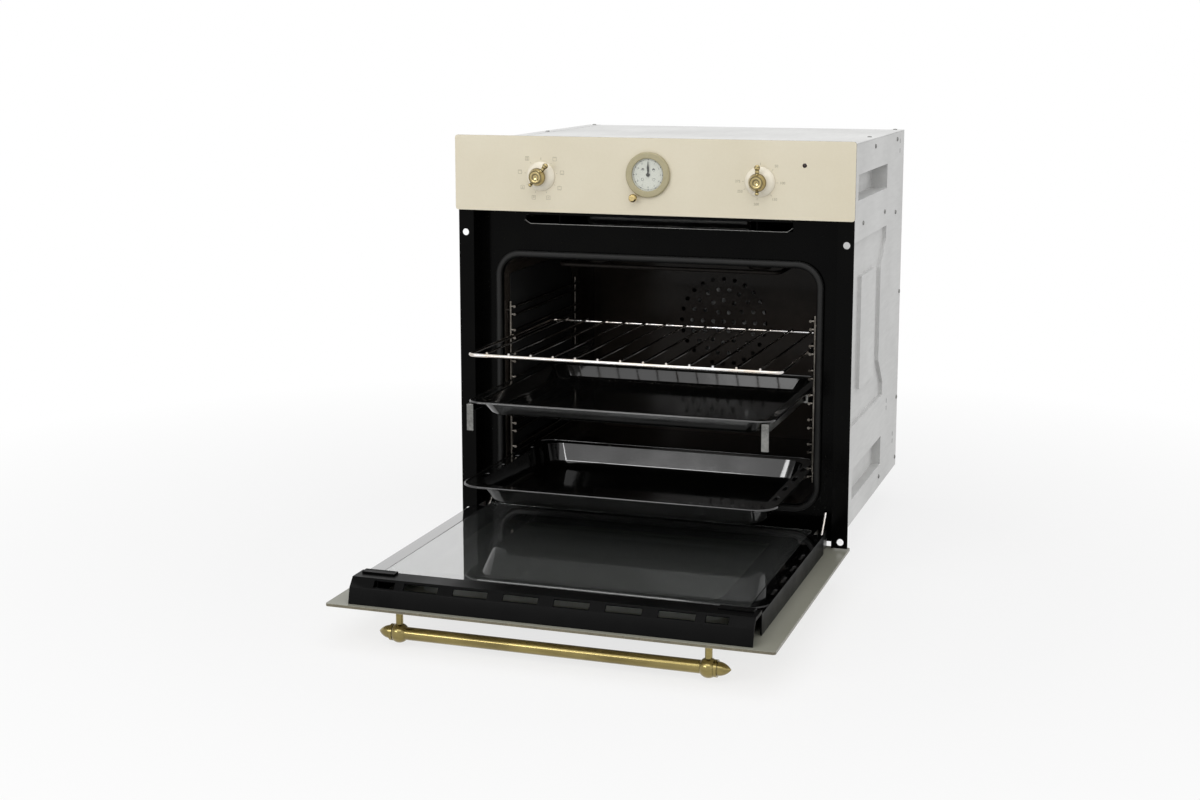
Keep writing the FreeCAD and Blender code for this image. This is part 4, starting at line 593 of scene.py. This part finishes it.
def inkDisc(radius, hole=0, x=0, y=0, half=False):
    bpy.ops.object.select_all(action="DESELECT")
    bpy.ops.mesh.primitive_circle_add(vertices=32, radius=radius * mm, fill_type="NGON")
    disc = bpy.context.active_object
    editPart(disc, faces=lambda centre, normal: True)
    if hole:
        bpy.ops.mesh.inset(thickness=(radius - hole) * mm)
        bpy.ops.mesh.delete(type="FACE")
    if half:
        bpy.ops.mesh.select_all(action="SELECT")
        bpy.ops.mesh.bisect(plane_co=(0, 0, 0), plane_no=(0, 1, 0), clear_inner=True)
    bpy.ops.mesh.select_all(action="SELECT")
    bpy.ops.mesh.extrude_region_move(TRANSFORM_OT_translate={"value": (0, 0, inkHeight * mm)})
    bpy.ops.mesh.select_all(action="SELECT")
    bpy.ops.mesh.normals_make_consistent(inside=False)
    endEdit()
    disc.data.transform(Matrix.Translation((x * mm, y * mm, 0)))
    return disc


def inkNumber(text, size, x, y):
    bpy.ops.object.select_all(action="DESELECT")
    bpy.ops.object.text_add()
    word = bpy.context.active_object
    word.data.body = text
    word.data.size = size * mm
    word.data.align_x = "CENTER"
    word.data.align_y = "CENTER"
    word.data.extrude = inkHeight * mm / 2
    word.data.resolution_u = 3
    bpy.ops.object.convert(target="MESH")
    word = bpy.context.active_object
    word.data.transform(Matrix.Translation((x * mm, y * mm, inkHeight * mm / 2)))
    return word


def around(radius, angle):                       # clockwise from the top, as on a clock
    return radius * math.sin(math.radians(angle)), radius * math.cos(math.radians(angle))


def printOn(marks, name, nodeName, faceY, ink):      # on the face at that y, centred on the node
    low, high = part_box(nodeName)
    centre = Vector(((low.x + high.x) / 2, faceY, (low.z + high.z) / 2))
    sheet = joinUp(marks)
    sheet.data.transform(Matrix.Translation(centre) @ Matrix.Rotation(math.radians(90), 4, "X"))
    keepPiece(sheet, name, "housing", ink)


# thermostat scale: a tick at the top, ticks and numbers round the knob
topTick = {"wide": 0.6, "long": 3.6, "at": 25.2}
heatScale = {"tickAt": 24.6, "tickLong": 2.6, "tickWide": 0.5, "numbersAt": 32, "numberSize": 5.2,
             "steps": {46: "50", 92: "100", 139: "150", 189: "200", 244: "250", 270: "275"}}
marks = [inkBar(topTick["wide"], topTick["long"], *around(topTick["at"], 0))]
for angle, number in heatScale["steps"].items():
    tickX, tickY = around(heatScale["tickAt"], angle)
    marks.append(inkBar(heatScale["tickWide"], heatScale["tickLong"], tickX, tickY, -angle))
    marks.append(inkNumber(number, heatScale["numberSize"], *around(heatScale["numbersAt"], angle)))
printOn(marks, "thermostatScale", "thermostat_skirt", panelLook["faceY"], panelInk)

# selector signs: a small oven outline for each setting, with heat from above, below or a fan
signLook = {"at": 33, "size": 5.4, "line": 0.45, "tickAt": 24.6, "tickLong": 2.2, "every": 40,
            "fan": (1.0, 0.6)}
lineAbove = (3.4, 0, 1.7)                        # length, and place in the outline
lineBelow = (3.4, 0, -1.7)
signs = [[lineAbove], [lineBelow], [lineAbove, lineBelow], ["fan"], ["fan", lineAbove], ["fan", lineBelow],
         [(1.4, -1, 1.6), (1.4, 1, 1.6)], ["fan", lineAbove, lineBelow]]
line = signLook["line"]
half = signLook["size"] / 2
marks = [inkBar(topTick["wide"], topTick["long"], *around(topTick["at"], 0))]
for step, sign in enumerate(signs):
    angle = (step + 1) * signLook["every"]
    x, y = around(signLook["at"], angle)
    marks.append(inkBar(line, signLook["tickLong"], *around(signLook["tickAt"], angle), -angle))
    for side in (-1, 1):
        marks.append(inkBar(signLook["size"], line, x, y + side * half))
        marks.append(inkBar(line, signLook["size"], x + side * half, y))
    for part in sign:
        if part == "fan":
            marks.append(inkDisc(*signLook["fan"], x, y))
        else:
            marks.append(inkBar(part[0], line, x + part[1], y + part[2]))
printOn(marks, "selectorSigns", "selector_skirt", panelLook["faceY"], panelInk)

# clock dial: minute ring, hour dots and numbers, and four small round signs, the upper two half filled
dialLook = {"ring": 21.6, "line": 0.3, "dots": 21.4, "dotSize": 0.75, "numbersAt": 18, "numberSize": 3.6,
            "signsAt": 10.8, "sign": (2.0, 1.6), "filling": 1.7,
            "signs": {-48: "half", 48: "half", 128: "open", 232: "open"}}
marks = [inkDisc(dialLook["ring"], dialLook["ring"] - dialLook["line"])]
for hour in range(1, 13):
    marks.append(inkDisc(dialLook["dotSize"], 0, *around(dialLook["dots"], hour * 30)))
    marks.append(inkNumber(str(hour), dialLook["numberSize"], *around(dialLook["numbersAt"], hour * 30)))
for angle, kind in dialLook["signs"].items():
    x, y = around(dialLook["signsAt"], angle)
    marks.append(inkDisc(*dialLook["sign"], x, y))
    if kind == "half":
        marks.append(inkDisc(dialLook["filling"], 0, x, y, half=True))
printOn(marks, "dialMarks", "clock_dial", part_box("clock_dial")[0].y, dialInk)
print("marks printed")

# screw: pan head with a cross recess, modelled once and copied; sizes in mm
screwLook = {"radius": 3.4, "height": 1.8, "round": 1.1, "cross": 3.2, "slot": 0.9, "deep": 1.0}
bpy.ops.object.select_all(action="DESELECT")
headHigh = screwLook["height"] * mm
bpy.ops.mesh.primitive_cylinder_add(vertices=20, radius=screwLook["radius"] * mm, depth=headHigh,
                                    location=(0, 0, headHigh / 2))
screw = bpy.context.active_object
bpy.ops.object.transform_apply(location=True, rotation=True, scale=True)
editPart(screw, edges=lambda edge: atLevel(edge, headHigh))
bpy.ops.mesh.bevel(offset=screwLook["round"] * mm, segments=3, affect="EDGES")
endEdit()
for turn in (0, 90):
    cutSize = (screwLook["cross"], screwLook["slot"], 2 * screwLook["deep"])
    cutter = block(cutSize, (0, 0, screwLook["height"]), (0, 0, turn))
    applyModifier(screw, "BOOLEAN", operation="DIFFERENCE", object=cutter, solver="EXACT")
    bpy.data.objects.remove(cutter)

# where the screws sit, in mm: outer faces of the body, and places on them
bodyFaces = {"side": 275, "back": 540, "top": 568, "fanCover": 425}
facing = {"right": (90, "Y"), "left": (-90, "Y"), "back": (-90, "X"), "front": (90, "X"), "up": (0, "X")}
sidePlaces = [(270, 556), (470, 556), (366, 448), (180, 448), (470, 438), (70, 448), (372, 18), (528, 16),
              (60, 18), (528, 300), (528, 120)]
topPlaces = [(262, 40), (262, 290), (262, 526)]
backPlaces = [(264, 20), (264, 290), (264, 548), (120, 12), (120, 556)]
coverPlaces = [(200, 164), (200, 336)]
screwRows = {
    "rightSideScrews": ("right", [(bodyFaces["side"], y, z) for y, z in sidePlaces]),
    "leftSideScrews": ("left", [(-bodyFaces["side"], y, z) for y, z in sidePlaces]),
    "topScrews": ("up", [(side * x, y, bodyFaces["top"]) for side in (-1, 1) for x, y in topPlaces]),
    "backScrews": ("back", [(side * x, bodyFaces["back"], z) for side in (-1, 1) for x, z in backPlaces]),
    "fanCoverScrews": ("front", [(side * x, bodyFaces["fanCover"], z) for side in (-1, 1)
                                 for x, z in coverPlaces]),
}
for rowName, (way, places) in screwRows.items():
    angle, axis = facing[way]
    turned = Matrix.Rotation(math.radians(angle), 4, axis)
    row = [copyAt(screw, Matrix.Translation(Vector(spot) * mm) @ turned) for spot in places]
    keepPiece(joinUp(row), rowName, "housing", finishes["zinc_steel"])
bpy.data.objects.remove(screw)
print("screws in")

# folded lip under the cooling slot, its ends turned up; sizes in mm
lipLook = {"half": 194, "front": 29.8, "back": 33, "z": 446.6, "thick": 0.8, "endOut": 9, "endUp": 6,
           "ease": 0.2}
lip = block((2 * lipLook["half"], lipLook["back"] - lipLook["front"], lipLook["thick"]),
            (0, (lipLook["front"] + lipLook["back"]) / 2, lipLook["z"]))
for side in (-1, 1):
    editPart(lip, faces=lambda centre, normal: normal.x * side > squareOn)
    endMove = (side * lipLook["endOut"] * mm, 0, lipLook["endUp"] * mm)
    bpy.ops.mesh.extrude_region_move(TRANSFORM_OT_translate={"value": endMove})
    endEdit()
softEdges(lip, lipLook["ease"])
keepPiece(lip, "ventLip", "housing", finishes["zinc_steel"])

# lap joints of the top sheet over both sides; sizes in mm
lapLook = {"size": (21, 524, 0.5), "x": 264.1, "y": 276, "z": 568.15, "ease": 0.2}
laps = [easedBlock(lapLook["size"], (side * lapLook["x"], lapLook["y"], lapLook["z"]), lapLook["ease"])
        for side in (-1, 1)]
keepPiece(joinUp(laps), "topLaps", "housing", finishes["galvanised_steel"])

# punched key slots near the back of each side, drawn as thin black blocks on the sheet: painted shade for their
# openings; sizes in mm
slotLook = {"size": (0.16, 2.6, 7), "ease": 0.07,
            "places": [(500, 552), (500, 536), (430, 132), (430, 120), (500, 62), (500, 50)]}
for side, slotsName in ((-1, "leftKeySlotShade"), (1, "rightKeySlotShade")):
    slots = [easedBlock(slotLook["size"], (side * bodyFaces["side"], y, z), slotLook["ease"])
             for y, z in slotLook["places"]]
    keepPiece(joinUp(slots), slotsName, "housing", finishes["duct_shade"])

# pressed lips behind the back louvres, which hide the inside of the air duct; sizes in mm
louvreLook = {"size": (70, 0.6, 7.8), "turn": (-35, 0, 0), "ease": 0.2, "x": 190, "y": 536.4, "foot": 454.4,
              "pitch": 14, "count": 5}
louvreLip = easedBlock(louvreLook["size"], (0, louvreLook["y"], louvreLook["foot"]), louvreLook["ease"],
                       louvreLook["turn"])
louvreSpots = [Vector((side * louvreLook["x"], 0, step * louvreLook["pitch"])) * mm
               for side in (-1, 1) for step in range(louvreLook["count"])]
louvreLips = [copyAt(louvreLip, Matrix.Translation(spot)) for spot in louvreSpots]
bpy.data.objects.remove(louvreLip)
keepPiece(joinUp(louvreLips), "louvreLips", "housing", finishes["galvanised_steel"])

# clips that hold the inner glass, one at each end of the top profile; sizes in mm
clipLook = {"size": (46, 13, 3), "x": 239, "y": -411, "border": 2, "sunk": 0.8, "ease": 0.5}
low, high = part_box("door_top_profile")
clipZ = high.z / mm + clipLook["size"][2] / 2
for side, clipName in ((-1, "leftGlassClip"), (1, "rightGlassClip")):
    clip = block(clipLook["size"], (side * clipLook["x"], clipLook["y"], clipZ))
    editPart(clip, faces=lambda centre, normal: normal.z > squareOn)
    bpy.ops.mesh.inset(thickness=clipLook["border"] * mm)
    bpy.ops.transform.translate(value=(0, 0, -clipLook["sunk"] * mm))
    endEdit()
    softEdges(clip, clipLook["ease"])
    keepPiece(clip, clipName, "door", finishes["black_profile"])
print("small sheet parts ready")

# stage: floor, studio light, white surroundings and the camera, in metres
stageLook = {"floorSize": 14, "floorZ": -0.06, "paper": "#ececec", "shadowEnds": (0.6, 1.6),
             "shadowGlow": 0.75, "surround": 0.5}


def seenShare(tree):                             # 1 for what is seen straight, in a mirror or through glass
    ray = addNode(tree, "ShaderNodeLightPath")
    seen = addNode(tree, "ShaderNodeMath", {"operation": "ADD", "use_clamp": True},
                   {0: ray.outputs["Is Camera Ray"], 1: ray.outputs["Is Glossy Ray"]})
    seen = addNode(tree, "ShaderNodeMath", {"operation": "ADD", "use_clamp": True},
                   {0: seen.outputs["Value"], 1: ray.outputs["Is Transmission Ray"]})
    return seen.outputs["Value"]


bpy.ops.object.select_all(action="DESELECT")
bpy.ops.mesh.primitive_plane_add(size=stageLook["floorSize"], location=(0, 0, stageLook["floorZ"]))
floor = bpy.context.active_object
floor.name = "studioFloor"
floorPaper, floorTree, floorPlace = startMaterial("paperFloor")      # white paper that keeps a faint shadow
paper = addNode(floorTree, "ShaderNodeBsdfDiffuse", {"Color": linear(stageLook["paper"])})
glow = addNode(floorTree, "ShaderNodeEmission", {"Color": (1, 1, 1, 1), "Strength": 1.0})
distance = addNode(floorTree, "ShaderNodeVectorMath", {"operation": "LENGTH"}, {0: floorPlace})
near, far = stageLook["shadowEnds"]
share = addNode(floorTree, "ShaderNodeMapRange", {"From Min": near, "From Max": far,
                "To Min": stageLook["shadowGlow"], "To Max": 1.0}, {"Value": distance.outputs["Value"]})
mostlyGlow = addNode(floorTree, "ShaderNodeMixShader", links={0: share.outputs["Result"],
                     1: paper.outputs["BSDF"], 2: glow.outputs["Emission"]})
floorMix = addNode(floorTree, "ShaderNodeMixShader", links={0: seenShare(floorTree),
                   1: paper.outputs["BSDF"], 2: mostlyGlow.outputs["Shader"]})
addNode(floorTree, "ShaderNodeOutputMaterial", links={"Surface": floorMix.outputs["Shader"]})
floor.data.materials.append(floorPaper)

world = bpy.data.worlds.new("whiteStudio")
bpy.context.scene.world = world
world.use_nodes = True
sky = world.node_tree
sky.nodes.clear()
soft = addNode(sky, "ShaderNodeBackground", {"Color": (1, 1, 1, 1), "Strength": stageLook["surround"]})
white = addNode(sky, "ShaderNodeBackground", {"Color": (1, 1, 1, 1), "Strength": 1.0})
skyMix = addNode(sky, "ShaderNodeMixShader", links={0: seenShare(sky),
                 1: soft.outputs["Background"], 2: white.outputs["Background"]})
addNode(sky, "ShaderNodeOutputWorld", links={"Surface": skyMix.outputs["Shader"]})

lamps = {                                        # place, point aimed at, size in metres, watts
    "keyLamp": ((-1.2, -2.5, 1.05), (0, 0, 0.3), (1.3, 0.4), 12),
    "frontLamp": ((0.2, -2.5, 2.2), (0, 0, 0.35), (2.6, 1.4), 19),
    "fillLamp": ((2.4, -1.4, 1.7), (0, 0.1, 0.4), (3.2, 3.2), 9),
    "topLamp": ((0.1, -0.3, 2.6), (0, 0, 0.3), (2.4, 2.4), 15),
}
for lampName, (spot, aim, (wide, tall), watts) in lamps.items():
    lampData = bpy.data.lights.new(lampName, "AREA")
    lampData.shape = "RECTANGLE"
    lampData.size = wide
    lampData.size_y = tall
    lampData.energy = watts
    lamp = bpy.data.objects.new(lampName, lampData)
    lamp.location = spot
    lamp.rotation_euler = (Vector(aim) - Vector(spot)).to_track_quat("-Z", "Y").to_euler()
    bpy.context.scene.collection.objects.link(lamp)

# the photo's view: place in metres, tilt down and turn left in degrees, lens in mm
shot = {"place": (0.7545, -2.4729, 0.7200), "down": 9.526, "left": 18.548, "lens": 54.25, "shift": -0.05}
camera = bpy.data.objects.new("shotCamera", bpy.data.cameras.new("shotCamera"))
camera.data.lens = shot["lens"]
camera.data.shift_y = shot["shift"]
camera.location = shot["place"]
camera.rotation_euler = (math.radians(90 - shot["down"]), 0, math.radians(shot["left"]))
bpy.context.scene.collection.objects.link(camera)
bpy.context.scene.camera = camera
bpy.context.scene.view_settings.view_transform = "Standard"
print("stage set")

bpy.context.view_layer.update()
print("done")
